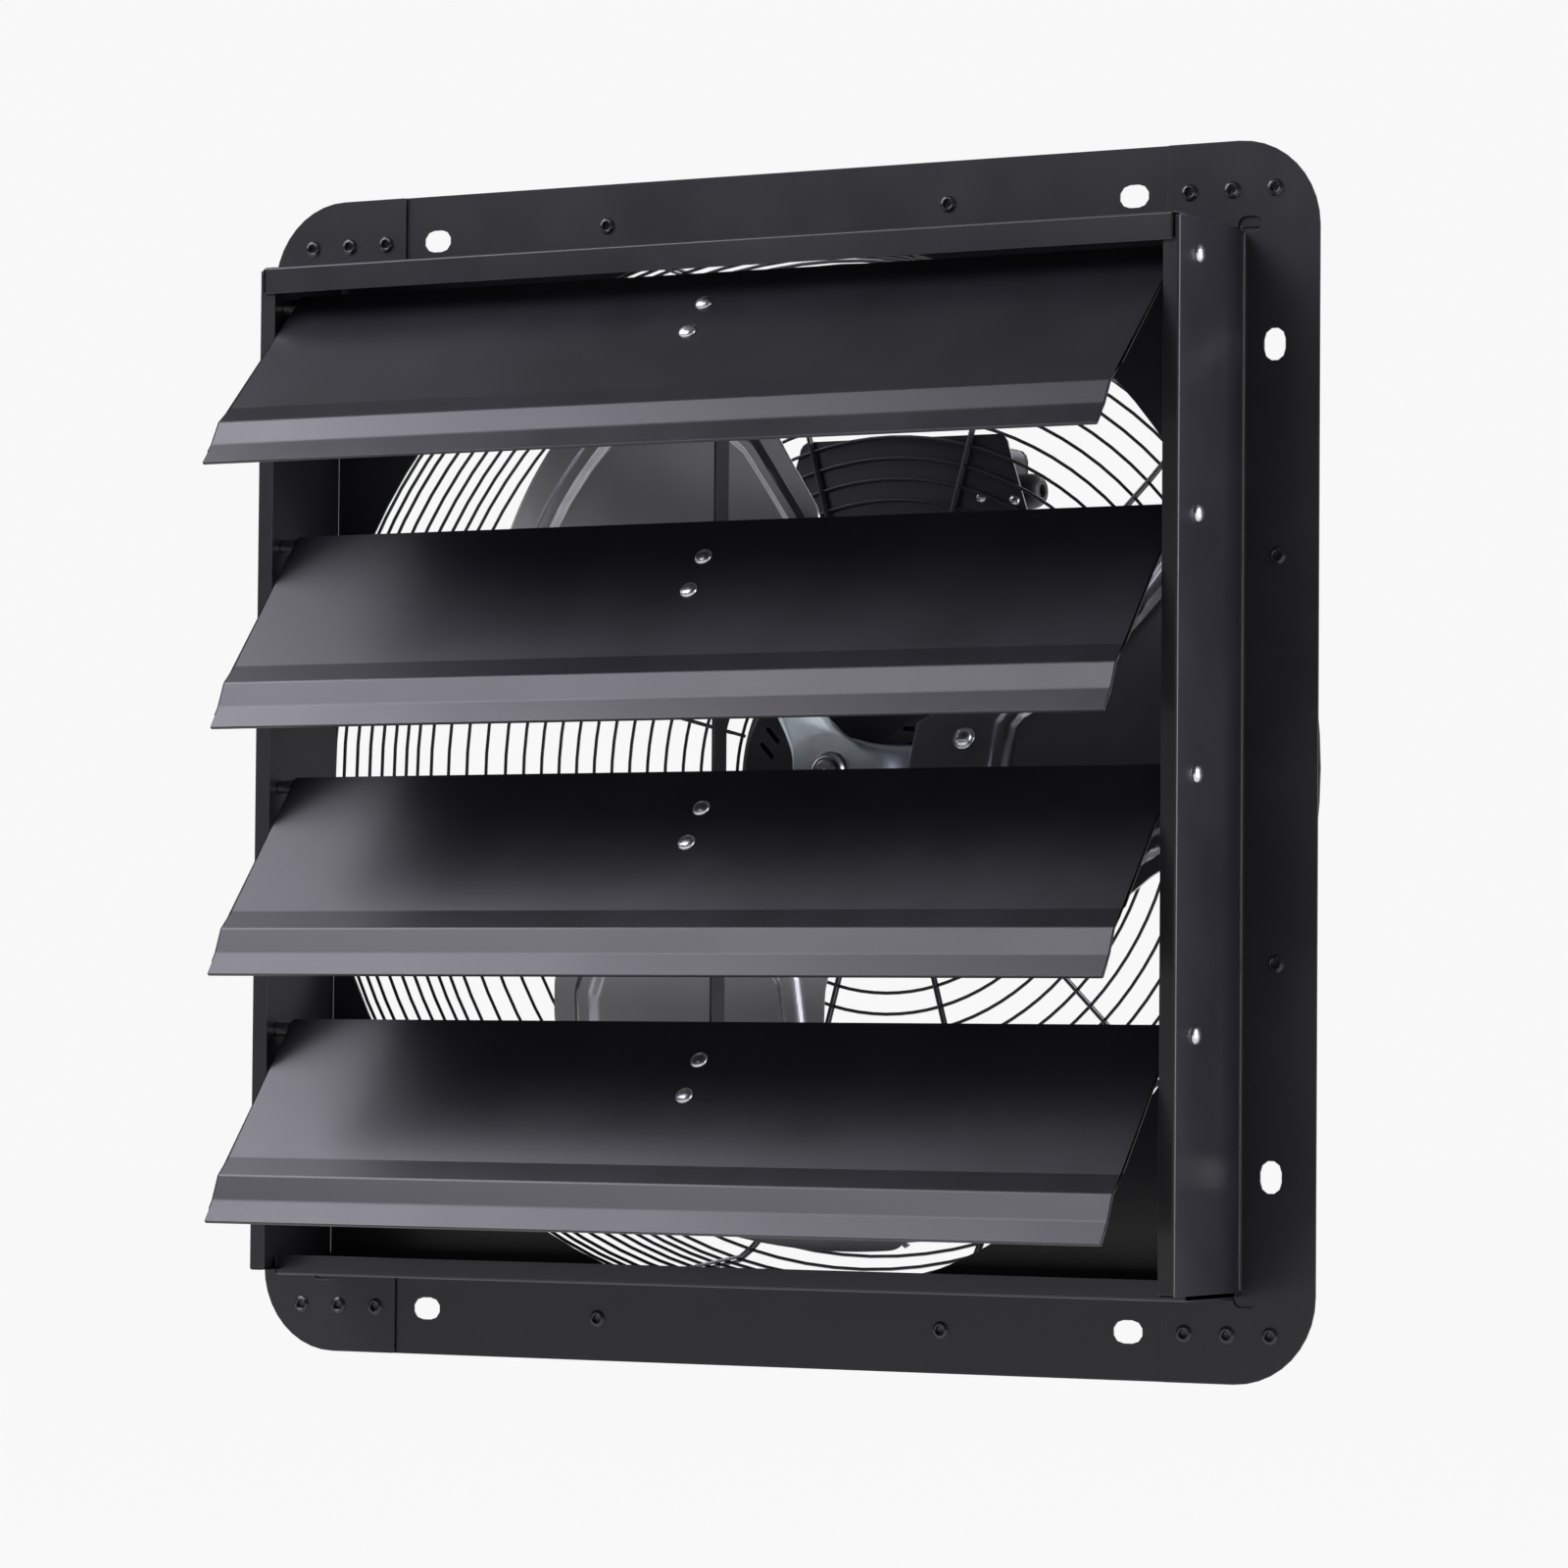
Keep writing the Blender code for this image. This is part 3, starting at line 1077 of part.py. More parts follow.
def box_plate():
    bottom = BOX_PLATE_BOTTOM_Z
    top = bottom + BOX_PLATE_HEIGHT
    round_top = arc((BOX_PLATE_TOP_HALF - BOX_CORNER, top - BOX_CORNER), BOX_CORNER, 0, math.pi / 2, 4)
    right = [(BOX_PLATE_BOTTOM_HALF, bottom), *round_top]
    outline = [(BOX_X + x, z) for x, z in right] + [(BOX_X - x, z) for x, z in reversed(right)]
    bm = plate(outline, [], facing_y(CLAMP_RING_FRONT_Y), PLATE_SHEET)
    add_object("box_plate", mesh_from(bm, "box_plate"), BLACK)


def control_box():
    """Open case with a lid behind, a gland in its right wall, a run capacitor and a terminal block."""
    left, right = BOX_X - CASE_HALF_WIDTH, BOX_X + CASE_HALF_WIDTH
    case = rounded_box((left, CASE_FRONT_Y, CASE_BOTTOM_Z), (right, CASE_REAR_Y, CASE_TOP_Z))
    case = add_object("control_box_case", mesh_from(case, "control_box_case"), BLACK_PLASTIC)
    floor = CASE_FRONT_Y + CASE_WALL
    low = (left + CASE_WALL, floor, CASE_BOTTOM_Z + CASE_WALL)
    cavity = box(low, (right - CASE_WALL, CASE_REAR_Y + OVERRUN, CASE_TOP_Z - CASE_WALL))
    join(case, helper("case_cavity", cavity), "DIFFERENCE")
    gland_axis = at(right - CASE_WALL / 2, GLAND_Y, GLAND_Z) @ Matrix.Rotation(-math.pi / 2, 4, "Z")
    drill = rod(GLAND_RADIUS + CLEARANCE, -CASE_WALL, CASE_WALL, 12)
    join(case, helper("gland_drill", moved(drill, gland_axis)), "DIFFERENCE")
    lid_front = CASE_REAR_Y + CLEARANCE
    lid = rounded_box((left, lid_front, CASE_BOTTOM_Z), (right, lid_front + LID_THICKNESS, CASE_TOP_Z))
    add_object("control_box_lid", mesh_from(lid, "control_box_lid"), BLACK_PLASTIC)

    seat = CASE_WALL / 2 + CLEARANCE
    nut = seat + GLAND_NUT_LENGTH
    bore = GLAND_BORE_RADIUS
    profile = [
        (bore, -nut), (GLAND_NUT_RADIUS, -nut), (GLAND_NUT_RADIUS, -seat), (GLAND_RADIUS, -seat),
        (GLAND_RADIUS, seat), (GLAND_NUT_RADIUS, seat), (GLAND_NUT_RADIUS, nut), (GLAND_RADIUS, nut),
        (GLAND_RADIUS, seat + GLAND_NOSE_LENGTH), (bore, seat + GLAND_NOSE_LENGTH),
    ]
    gland = moved(turned(profile, 12), gland_axis)
    add_object("cable_gland", mesh_from(gland, "cable_gland", smooth=True), ZINC)

    middle = (CASE_TOP_Z + CASE_BOTTOM_Z) / 2
    run = CAPACITOR_LENGTH / 2
    spot = at(CAPACITOR_X, floor + CLEARANCE + CAPACITOR_RADIUS, middle)
    upright = Matrix.Rotation(math.pi / 2, 4, "X")
    can = moved(rod(CAPACITOR_RADIUS, -run, run, 16), spot @ upright)
    add_object("run_capacitor", mesh_from(can, "run_capacitor", smooth=True), STEEL)
    low = (TERMINAL_X, floor + CLEARANCE, TERMINAL_Z)
    block = box(low, (low[0] + TERMINAL_WIDTH, low[1] + TERMINAL_DEPTH, low[2] + TERMINAL_HEIGHT))
    add_object("terminal_block", mesh_from(block, "terminal_block"), BLACK_PLASTIC)


def main():
    for old in list(bpy.data.objects):
        bpy.data.objects.remove(old, do_unlink=True)
    frame_channel("frame_top", 1)
    frame_channel("frame_bottom", -1)
    frame_wall("frame_left", -1)
    frame_wall("frame_right", 1)
    for number, (sx, sz) in enumerate(corner_signs(), 1):
        corner_gusset(f"corner_gusset_{number}", sx, sz)
    for index in range(LOUVER_COUNT):
        axis = axis_empty(f"louver_axis_{index + 1}", (0, PIVOT_Y, louver_pivot_z(index)))
        louver(index, axis)
        louver_bracket(index, axis)
        link_pin(index, axis)
        pivot_pin(index, -1, "left")
        pivot_pin(index, 1, "right")
    tie_bar(axis_empty("tie_bar_axis", (0, *link_spot(1))))
    guard()
    fan_axis = axis_empty("fan_axis", (0, ROTOR_Y, 0))
    for index in range(BLADE_COUNT):
        blade(index, fan_axis)
        for side, axis in enumerate(bolt_axes(), 1):
            blade_bolt(2 * index + side, arm_turn(index) @ axis, fan_axis)
    hub_spider(fan_axis)
    hub_bush(fan_axis)
    rotor_core(fan_axis)
    motor()
    motor_plate()
    clamp_ring()
    box_plate()
    control_box()


main()
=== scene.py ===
"""Dresses the packed shutter exhaust fan.

It makes the pressed sheet, wire guard, impeller, fasteners and finishes around the packed model.

Metres. X runs to the right seen from outdoors, +Y points into the wall, +Z up.
"""
import json
import math

import bpy
from bpy.props import FloatProperty, FloatVectorProperty, IntProperty, PointerProperty
from mathutils import Matrix, Vector

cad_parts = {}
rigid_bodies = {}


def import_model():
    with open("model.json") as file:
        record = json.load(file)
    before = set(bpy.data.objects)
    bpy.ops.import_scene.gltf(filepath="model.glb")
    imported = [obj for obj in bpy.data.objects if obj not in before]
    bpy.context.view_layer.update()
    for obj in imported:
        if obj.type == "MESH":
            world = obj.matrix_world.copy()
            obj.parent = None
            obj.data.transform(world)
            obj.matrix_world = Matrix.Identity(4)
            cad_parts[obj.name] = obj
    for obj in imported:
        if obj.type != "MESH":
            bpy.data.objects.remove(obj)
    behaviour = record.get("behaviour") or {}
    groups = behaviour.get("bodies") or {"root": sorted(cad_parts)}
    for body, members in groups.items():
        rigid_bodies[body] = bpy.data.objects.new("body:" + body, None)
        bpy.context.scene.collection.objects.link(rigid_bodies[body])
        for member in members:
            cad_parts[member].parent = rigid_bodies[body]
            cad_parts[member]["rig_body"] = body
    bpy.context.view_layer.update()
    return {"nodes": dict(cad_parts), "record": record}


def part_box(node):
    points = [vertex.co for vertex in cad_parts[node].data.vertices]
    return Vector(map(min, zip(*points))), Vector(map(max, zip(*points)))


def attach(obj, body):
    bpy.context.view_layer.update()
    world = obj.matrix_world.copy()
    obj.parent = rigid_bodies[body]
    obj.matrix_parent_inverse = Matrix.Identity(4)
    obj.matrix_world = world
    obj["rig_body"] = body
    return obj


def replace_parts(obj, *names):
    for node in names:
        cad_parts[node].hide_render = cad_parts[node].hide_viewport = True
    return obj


bl_info = {
    "name": "Shutter Exhaust Fan",
    "version": (1, 0, 0),
    "blender": (4, 5, 0),
    "location": "3D View > Sidebar > Exhaust Fan",
    "description": "Builds the visible sheet, wire, impeller and finishes of a wall shutter fan",
    "category": "Add Mesh",
}

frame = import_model()
NODES = frame["nodes"]


def length(name, description, default, **limits):
    return FloatProperty(name=name, description=description, default=default, unit="LENGTH",
                         precision=5, **limits)


def colour(name, description, default):
    return FloatVectorProperty(name=name, description=description, default=default,
                               subtype="COLOR", size=3, min=0, max=1)


def share(name, description, default):
    return FloatProperty(name=name, description=description, default=default, min=0, max=1,
                         subtype="FACTOR")


def whole(name, description, default, least):
    return IntProperty(name=name, description=description, default=default, min=least)


def position(name, description, default):
    return FloatVectorProperty(name=name, description=description, default=default,
                               subtype="TRANSLATION", unit="LENGTH")


class FanFinishes(bpy.types.PropertyGroup):
    """Colours and gloss of the fan's surfaces."""
    powder: colour("Powder coat", "Black powder coat on the sheet metal and wire",
                   (0.0112, 0.0108, 0.0140))
    # A lighter grey for the powder coat's folds and cut edges: partly wear, partly a painted
    # highlight for the bright fold lines
    powder_wear_and_highlight: colour("Worn powder coat", "Powder coat where it thins over a fold",
                        (0.060, 0.058, 0.060))
    powder_roughness: share("Powder roughness", "Roughness of the satin powder coat", 0.34)
    blade: colour("Blade", "Satin aluminium of the blades", (0.44, 0.44, 0.47))
    spider: colour("Spider", "Blue-grey zinc plate of the spider", (0.66, 0.73, 0.80))
    zinc: colour("Zinc", "Bright zinc plate of rivets, pins and bolts", (0.68, 0.69, 0.71))
    steel: colour("Steel", "Turned steel of the shaft and bearings", (0.50, 0.50, 0.52))
    copper: colour("Copper", "Varnished copper of the windings", (0.50, 0.21, 0.10))
    iron: colour("Iron", "Bare laminations", (0.18, 0.18, 0.19))
    plastic: colour("Plastic", "Moulded black plastic of the control box", (0.012, 0.012, 0.013))


class FanSheet(bpy.types.PropertyGroup):
    """Sheet-metal folds and louvers."""
    fold_radius: length("Fold radius", "Outer radius of a folded corner of the frame", 0.0014)
    edge_radius: length("Edge radius", "Rounding of a cut sheet edge", 0.00018)
    bend_radius: length("Louver bend", "Width of a rounded bend in a louver", 0.0016)


class FanGuard(bpy.types.PropertyGroup):
    """The welded wire guard."""
    ring_wire: length("Ring wire", "Diameter of the rings' wire", 0.0017)
    strut_wire: length("Strut wire", "Diameter of the struts' wire", 0.0019)
    strut_out: length("Outer strut", "From the rings' wire out to the strut welded behind it",
                      0.0009)
    strut_in: length("Inner strut", "From the rings' wire in to the strut welded before it", 0.0014)
    strut_pairs: whole("Strut pairs", "Pairs of struts round the guard", 12, 3)
    back_pitch: length("Back pitch", "Between the rings of the flat back", 0.0096)
    ring_steps: whole("Ring steps", "Segments round a ring", 96, 24)


class FanFasteners(bpy.types.PropertyGroup):
    """Rivets and screws."""
    blind_head: length("Blind rivet head", "Radius of a black blind rivet's head", 0.0040)
    blind_bore: length("Blind rivet bore", "Radius of the hollow in its middle", 0.0021)
    louver_head: length("Louver rivet head", "Radius of a zinc louver rivet's head", 0.0044)


class FanBlades(bpy.types.PropertyGroup):
    """Pressed blades."""
    sheet: length("Blade gauge", "Thickness of a blade", 0.0012)
    rib_half_width: length("Rib half width", "From the middle of the pressed rib to its foot",
                           0.0058)
    rib_height: length("Rib height", "How far the rib stands out of the blade", 0.0030)
    leading_corner: length("Leading tip corner", "Radius of the tip's leading corner", 0.0120)
    trailing_corner: length("Trailing tip corner", "Radius of the tip's trailing corner", 0.0040)
    columns: whole("Columns", "Cells across the blade", 116, 16)
    rows: whole("Rows", "Cells from root to tip", 150, 20)
    smoothing: whole("Smoothing", "Passes that ease the outline's corners", 10, 0)


class FanStage(bpy.types.PropertyGroup):
    """Camera, floor and lamps."""
    lens: FloatProperty(name="Lens", description="Focal length in millimetres", default=141.95,
                        min=10)
    eye: position("Camera", "Where the camera stands", (1.4046, -2.5314, -0.1249))
    target: position("Target", "What the camera looks at", (0.0079, -0.0023, -0.0078))
    roll: FloatProperty(name="Roll", description="Camera turned about its own axis",
                        default=math.radians(0.4603), subtype="ANGLE")
    floor_drop: length("Floor drop", "From the fan's axis down to the floor", 0.75)
    pale: colour("Background", "Colour of the backdrop and floor", (0.939, 0.939, 0.939))
    lamp_colour: colour("Lamp colour", "Colour of the soft lamps", (0.905, 0.888, 1.0))


# Mesh work

def clear_selection():
    if bpy.context.mode != "OBJECT":
        bpy.ops.object.mode_set(mode="OBJECT")
    bpy.ops.object.select_all(action="DESELECT")


def take(piece):
    """Makes a piece the only selected and active object."""
    clear_selection()
    piece.select_set(True)
    bpy.context.view_layer.objects.active = piece
    return piece


def named(name):
    made = bpy.context.object
    made.name = made.data.name = name
    return made


def apply_all(piece):
    take(piece)
    for step in list(piece.modifiers):
        bpy.ops.object.modifier_apply(modifier=step.name)


def settle(piece):
    """Puts a piece's place into its mesh."""
    take(piece)
    bpy.ops.object.transform_apply(location=True, rotation=True, scale=True)
    return piece


def merged(piece, distance=1e-6):
    take(piece)
    bpy.ops.object.mode_set(mode="EDIT")
    bpy.ops.mesh.select_all(action="SELECT")
    bpy.ops.mesh.remove_doubles(threshold=distance)
    bpy.ops.mesh.normals_make_consistent(inside=False)
    bpy.ops.object.mode_set(mode="OBJECT")
    return piece


def smooth(piece, angle=35):
    take(piece)
    bpy.ops.object.shade_smooth_by_angle(angle=math.radians(angle))
    return piece


def thick(piece, gauge, edge=0.0, offset=0.0):
    """Gives a sheet its thickness and rounds its cut edges."""
    step = piece.modifiers.new("Thickness", "SOLIDIFY")
    step.thickness = gauge
    step.offset = offset
    step.use_even_offset = True
    if edge:
        rounding = piece.modifiers.new("Edges", "BEVEL")
        rounding.width = edge
        rounding.segments = 2
        rounding.limit_method = "ANGLE"
        rounding.angle_limit = math.radians(50)
    apply_all(piece)


def loop_of(name, points):
    """A closed loop of edges through points, from a circle."""
    clear_selection()
    bpy.ops.mesh.primitive_circle_add(vertices=len(points), radius=1)
    piece = named(name)
    for vert, point in zip(piece.data.vertices, points):
        vert.co = point
    return piece


def polygon(name, points):
    """A flat face through points, from a filled circle."""
    piece = loop_of(name, points)
    bpy.ops.object.mode_set(mode="EDIT")
    bpy.ops.mesh.select_all(action="SELECT")
    bpy.ops.mesh.edge_face_add()
    bpy.ops.object.mode_set(mode="OBJECT")
    return piece


def ribbon(name, points, half_width, placed):
    """A folded strip: a plane over a profile's first stretch, extruded along the rest."""
    clear_selection()
    bpy.ops.mesh.primitive_plane_add(size=1)
    piece = named(name)
    spots = [placed(side * half_width, *points[i]) for i in (0, 1) for side in (-1, 1)]
    for vert, spot in zip(piece.data.vertices, spots):
        vert.co = spot
    for before, after in zip(points[1:], points[2:]):
        for vert in piece.data.vertices:
            vert.select = vert.index >= len(piece.data.vertices) - 2
        for edge in piece.data.edges:
            edge.select = all(piece.data.vertices[i].select for i in edge.vertices)
        for face in piece.data.polygons:
            face.select = False
        step = placed(0, *after) - placed(0, *before)
        bpy.ops.object.mode_set(mode="EDIT")
        bpy.ops.mesh.select_mode(type="EDGE")
        bpy.ops.mesh.extrude_region_move(TRANSFORM_OT_translate={"value": step})
        bpy.ops.object.mode_set(mode="OBJECT")
    return piece


def joined(pieces):
    clear_selection()
    for piece in pieces:
        piece.select_set(True)
    bpy.context.view_layer.objects.active = pieces[0]
    if len(pieces) > 1:
        bpy.ops.object.join()
    return pieces[0]


def lathe(name, profile, steps, closed=False):
    """A body turned about the Y axis from points (radius, y).

    The profile ends on the axis, or comes back on itself where closed is true.
    """
    piece = loop_of(name, [(r, y, 0) for r, y in profile])
    bpy.ops.object.mode_set(mode="EDIT")
    bpy.ops.mesh.select_all(action="DESELECT")
    bpy.ops.object.mode_set(mode="OBJECT")
    if not closed:
        last = len(profile) - 1
        for edge in piece.data.edges:
            edge.select = set(edge.vertices) == {0, last}
        bpy.ops.object.mode_set(mode="EDIT")
        bpy.ops.mesh.select_mode(type="EDGE")
        bpy.ops.mesh.delete(type="EDGE_FACE" if len(profile) < 3 else "ONLY_FACE")
        bpy.ops.mesh.delete(type="EDGE")
        bpy.ops.object.mode_set(mode="OBJECT")
    bpy.ops.object.mode_set(mode="EDIT")
    bpy.ops.mesh.select_all(action="SELECT")
    bpy.ops.mesh.spin(steps=steps, angle=2 * math.pi, center=(0, 0, 0), axis=(0, 1, 0))
    bpy.ops.object.mode_set(mode="OBJECT")
    return merged(piece, 1e-5)


def copy_of(piece, name, matrix):
    """A copy with its own mesh, moved in its mesh."""
    made = bpy.data.objects.new(name, piece.data.copy())
    made.data.name = name
    bpy.context.scene.collection.objects.link(made)
    made.data.transform(matrix)
    if matrix.determinant() < 0:
        made.data.flip_normals()
    return made


def shifted(profile, start):
    """A profile of points (radius, y) with each y counted from start."""
    return [(radius, start + y) for radius, y in profile]


def hand_over(piece, body, slot, nodes=(), material=None):
    """Gives a piece its body, its slot's finish or another one, and the CAD nodes it stands for."""
    piece.data.materials.clear()
    piece.data.materials.append(material or FINISH_OF_SLOT[slot]())
    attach(piece, body)
    if nodes:
        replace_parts(piece, *nodes)


def body_of_node(node):
    return NODES[node]["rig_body"]


# Finishes

def add_node(tree, kind, inputs=None, **settings):
    made = tree.nodes.new(kind)
    for key, value in settings.items():
        setattr(made, key, value)
    for key, value in (inputs or {}).items():
        made.inputs[key].default_value = value
    return made


# Ranges of the noise that turn into tint, gloss and lighter edges, partly wear and partly painted
# highlight, and of how far such an edge's normal leans; then the weights of the large and the fine
# noise in the gloss
TINT_RANGE = {"From Min": 0.35, "From Max": 0.65}
GLOSS_RANGE = {"From Min": 0.3, "From Max": 0.7}
WEAR_AND_HIGHLIGHT_RANGE = {"From Min": 0.30, "From Max": 0.62}
RIM_RANGE = {"From Min": 0.98, "From Max": 0.80}
CLOUD_SHARE, GRAIN_SHARE = 0.6, 0.4


def finish(name, base, other, roughness, spread, metallic=0.0, mottle=30.0, grain=900.0,
           depth=0.00004, stretch=(1, 1, 1), edge_wear_and_highlight=None, edge_wear_and_highlight_width=0.0008, specular=0.5,
           strength=0.35):
    """A surface whose colour, roughness and relief vary over Object coordinates, its edges
    lighter in patches: partly wear, partly a painted highlight.
    """
    old = bpy.data.materials.get(name)
    if old:
        return old
    made = bpy.data.materials.new(name)
    made.use_nodes = True
    tree = made.node_tree
    link = tree.links.new
    shader = tree.nodes["Principled BSDF"]
    shader.inputs["Metallic"].default_value = metallic
    shader.inputs["Specular IOR Level"].default_value = specular
    place = add_node(tree, "ShaderNodeTexCoord")
    mapping = add_node(tree, "ShaderNodeMapping", {"Scale": stretch})
    link(place.outputs["Object"], mapping.inputs["Vector"])
    cloud = add_node(tree, "ShaderNodeTexNoise", {"Scale": mottle, "Detail": 4, "Roughness": 0.6})
    fine = add_node(tree, "ShaderNodeTexNoise", {"Scale": grain, "Detail": 2, "Roughness": 0.5})
    for texture in (cloud, fine):
        link(mapping.outputs["Vector"], texture.inputs["Vector"])
    blend = add_node(tree, "ShaderNodeMix", data_type="RGBA")
    blend.inputs["A"].default_value = (*base, 1)
    blend.inputs["B"].default_value = (*other, 1)
    spreading = add_node(tree, "ShaderNodeMapRange", TINT_RANGE)
    link(cloud.outputs["Fac"], spreading.inputs["Value"])
    link(spreading.outputs["Result"], blend.inputs["Factor"])
    tint = blend.outputs["Result"]
    gloss = add_node(tree, "ShaderNodeMapRange", {
        **GLOSS_RANGE, "To Min": roughness - spread, "To Max": roughness + spread})
    mixed = add_node(tree, "ShaderNodeMath", operation="MULTIPLY_ADD")
    mixed.inputs[1].default_value = GRAIN_SHARE
    link(fine.outputs["Fac"], mixed.inputs[0])
    scaled = add_node(tree, "ShaderNodeMath", operation="MULTIPLY")
    scaled.inputs[1].default_value = CLOUD_SHARE
    link(cloud.outputs["Fac"], scaled.inputs[0])
    link(scaled.outputs["Value"], mixed.inputs[2])
    link(mixed.outputs["Value"], gloss.inputs["Value"])
    link(gloss.outputs["Result"], shader.inputs["Roughness"])
    # Edges, found where the rounded normal leans away from the true one, get a lighter colour in
    # cloud patches: partly wear, partly a painted highlight on folds and rims
    if edge_wear_and_highlight:
        rounded = add_node(tree, "ShaderNodeBevel", {"Radius": edge_wear_and_highlight_width}, samples=4)
        flat = add_node(tree, "ShaderNodeNewGeometry")
        facing = add_node(tree, "ShaderNodeVectorMath", operation="DOT_PRODUCT")
        link(rounded.outputs["Normal"], facing.inputs[0])
        link(flat.outputs["Normal"], facing.inputs[1])
        rim = add_node(tree, "ShaderNodeMapRange", RIM_RANGE)
        link(facing.outputs["Value"], rim.inputs["Value"])
        wear_and_highlight_mask = add_node(tree, "ShaderNodeMath", operation="MULTIPLY")
        link(rim.outputs["Result"], wear_and_highlight_mask.inputs[0])
        patch = add_node(tree, "ShaderNodeMapRange", WEAR_AND_HIGHLIGHT_RANGE)
        link(cloud.outputs["Fac"], patch.inputs["Value"])
        link(patch.outputs["Result"], wear_and_highlight_mask.inputs[1])
        edge = add_node(tree, "ShaderNodeMix", data_type="RGBA")
        edge.inputs["B"].default_value = (*edge_wear_and_highlight, 1)
        link(tint, edge.inputs["A"])
        link(wear_and_highlight_mask.outputs["Value"], edge.inputs["Factor"])
        tint = edge.outputs["Result"]
    link(tint, shader.inputs["Base Color"])
    relief = add_node(tree, "ShaderNodeBump", {"Strength": strength, "Distance": depth})
    link(fine.outputs["Fac"], relief.inputs["Height"])
    link(relief.outputs["Normal"], shader.inputs["Normal"])
    return made


def lighter(base, factor):
    return tuple(min(1, c * factor) for c in base)


def paint(name):
    return tuple(getattr(bpy.context.scene.fan_finishes, name))


def powder_coat():
    base = paint("powder")
    # Folds and cut edges are painted lighter: partly wear, partly a painted highlight
    return finish("black_powder_coat", base, lighter(base, 1.3),
                  bpy.context.scene.fan_finishes.powder_roughness, 0.05, mottle=14, grain=1500,
                  depth=0.00006, edge_wear_and_highlight=paint("powder_wear_and_highlight"), strength=0.25)


def black_rivet():
    base = paint("powder")
    # The rim of each rivet head gets the same lighter edge: partly wear, partly a painted highlight
    return finish("black_rivet_paint", base, lighter(base, 1.4), 0.20, 0.05, mottle=120,
                  grain=2200, depth=0.00003, edge_wear_and_highlight=paint("powder_wear_and_highlight"), edge_wear_and_highlight_width=0.0002,
                  strength=0.2)


def zinc_plate():
    base = paint("zinc")
    return finish("bright_zinc_plate", base, lighter(base, 0.86), 0.30, 0.08, 1, mottle=160,
                  grain=2500, depth=0.00003, edge_wear_and_highlight=lighter(base, 1.2), edge_wear_and_highlight_width=0.0003,
                  strength=0.3)


def spider_zinc():
    base = paint("spider")
    return finish("grey_zinc_plate", base, lighter(base, 0.84), 0.40, 0.08, 1, mottle=70,
                  grain=1400, depth=0.00004, edge_wear_and_highlight=lighter(base, 1.5), strength=0.3)


def blade_aluminium():
    base = paint("blade")
    return finish("dark_blade_aluminium", base, lighter(base, 0.93), 0.32, 0.04, 1, mottle=45,
                  grain=1700, depth=0.00003, stretch=(1, 1, 0.35), edge_wear_and_highlight=lighter(base, 1.4),
                  strength=0.25)


def turned_steel():
    base = paint("steel")
    return finish("turned_steel", base, lighter(base, 0.8), 0.28, 0.08, 1, mottle=90, grain=1900,
                  depth=0.00003, stretch=(0.1, 1, 0.1), strength=0.4)


def wound_copper():
    base = paint("copper")
    return finish("varnished_copper", base, lighter(base, 0.55), 0.38, 0.10, 0.9, mottle=240,
                  grain=1100, depth=0.0003, stretch=(1, 0.2, 1), strength=0.8)


def laminations():
    base = paint("iron")
    return finish("laminated_iron", base, lighter(base, 0.6), 0.50, 0.10, 0.8, mottle=60,
                  grain=1300, depth=0.0002, stretch=(0.1, 1, 0.1), strength=0.8)


def box_plastic():
    base = paint("plastic")
    return finish("moulded_black_plastic", base, lighter(base, 1.5), 0.52, 0.06, mottle=26,
                  grain=1800, depth=0.00012, edge_wear_and_highlight=(0.035, 0.035, 0.037), strength=0.45)


FINISH_OF_SLOT = {
    "black_steel": powder_coat, "zinc_plate": zinc_plate, "spider_zinc": spider_zinc,
    "blade_aluminium": blade_aluminium, "bright_steel": turned_steel, "copper": wound_copper,
    "iron": laminations, "black_plastic": box_plastic,
}


def slot_of(node):
    for part in frame["record"]["subparts"]:
        if part["node"] == node:
            return part["material_slot"]
    raise ValueError(f"no material slot for {node}")


def cut_away(piece, cutter):
    cut = piece.modifiers.new("Cut", "BOOLEAN")
    cut.operation = "DIFFERENCE"
    cut.solver = "EXACT"
    cut.object = cutter
    apply_all(piece)


FLAT_TURN, SHARP_TURN, FOLD_TURN = 0.6, 40, 3  # degrees between two faces
FOLD_RUN = 0.1
FOLD_SPAN = 4  # in fold radii, the least width of a face beside a slight fold
EDGE_SHARE = 0.22
NORMAL_WEIGHT = 60


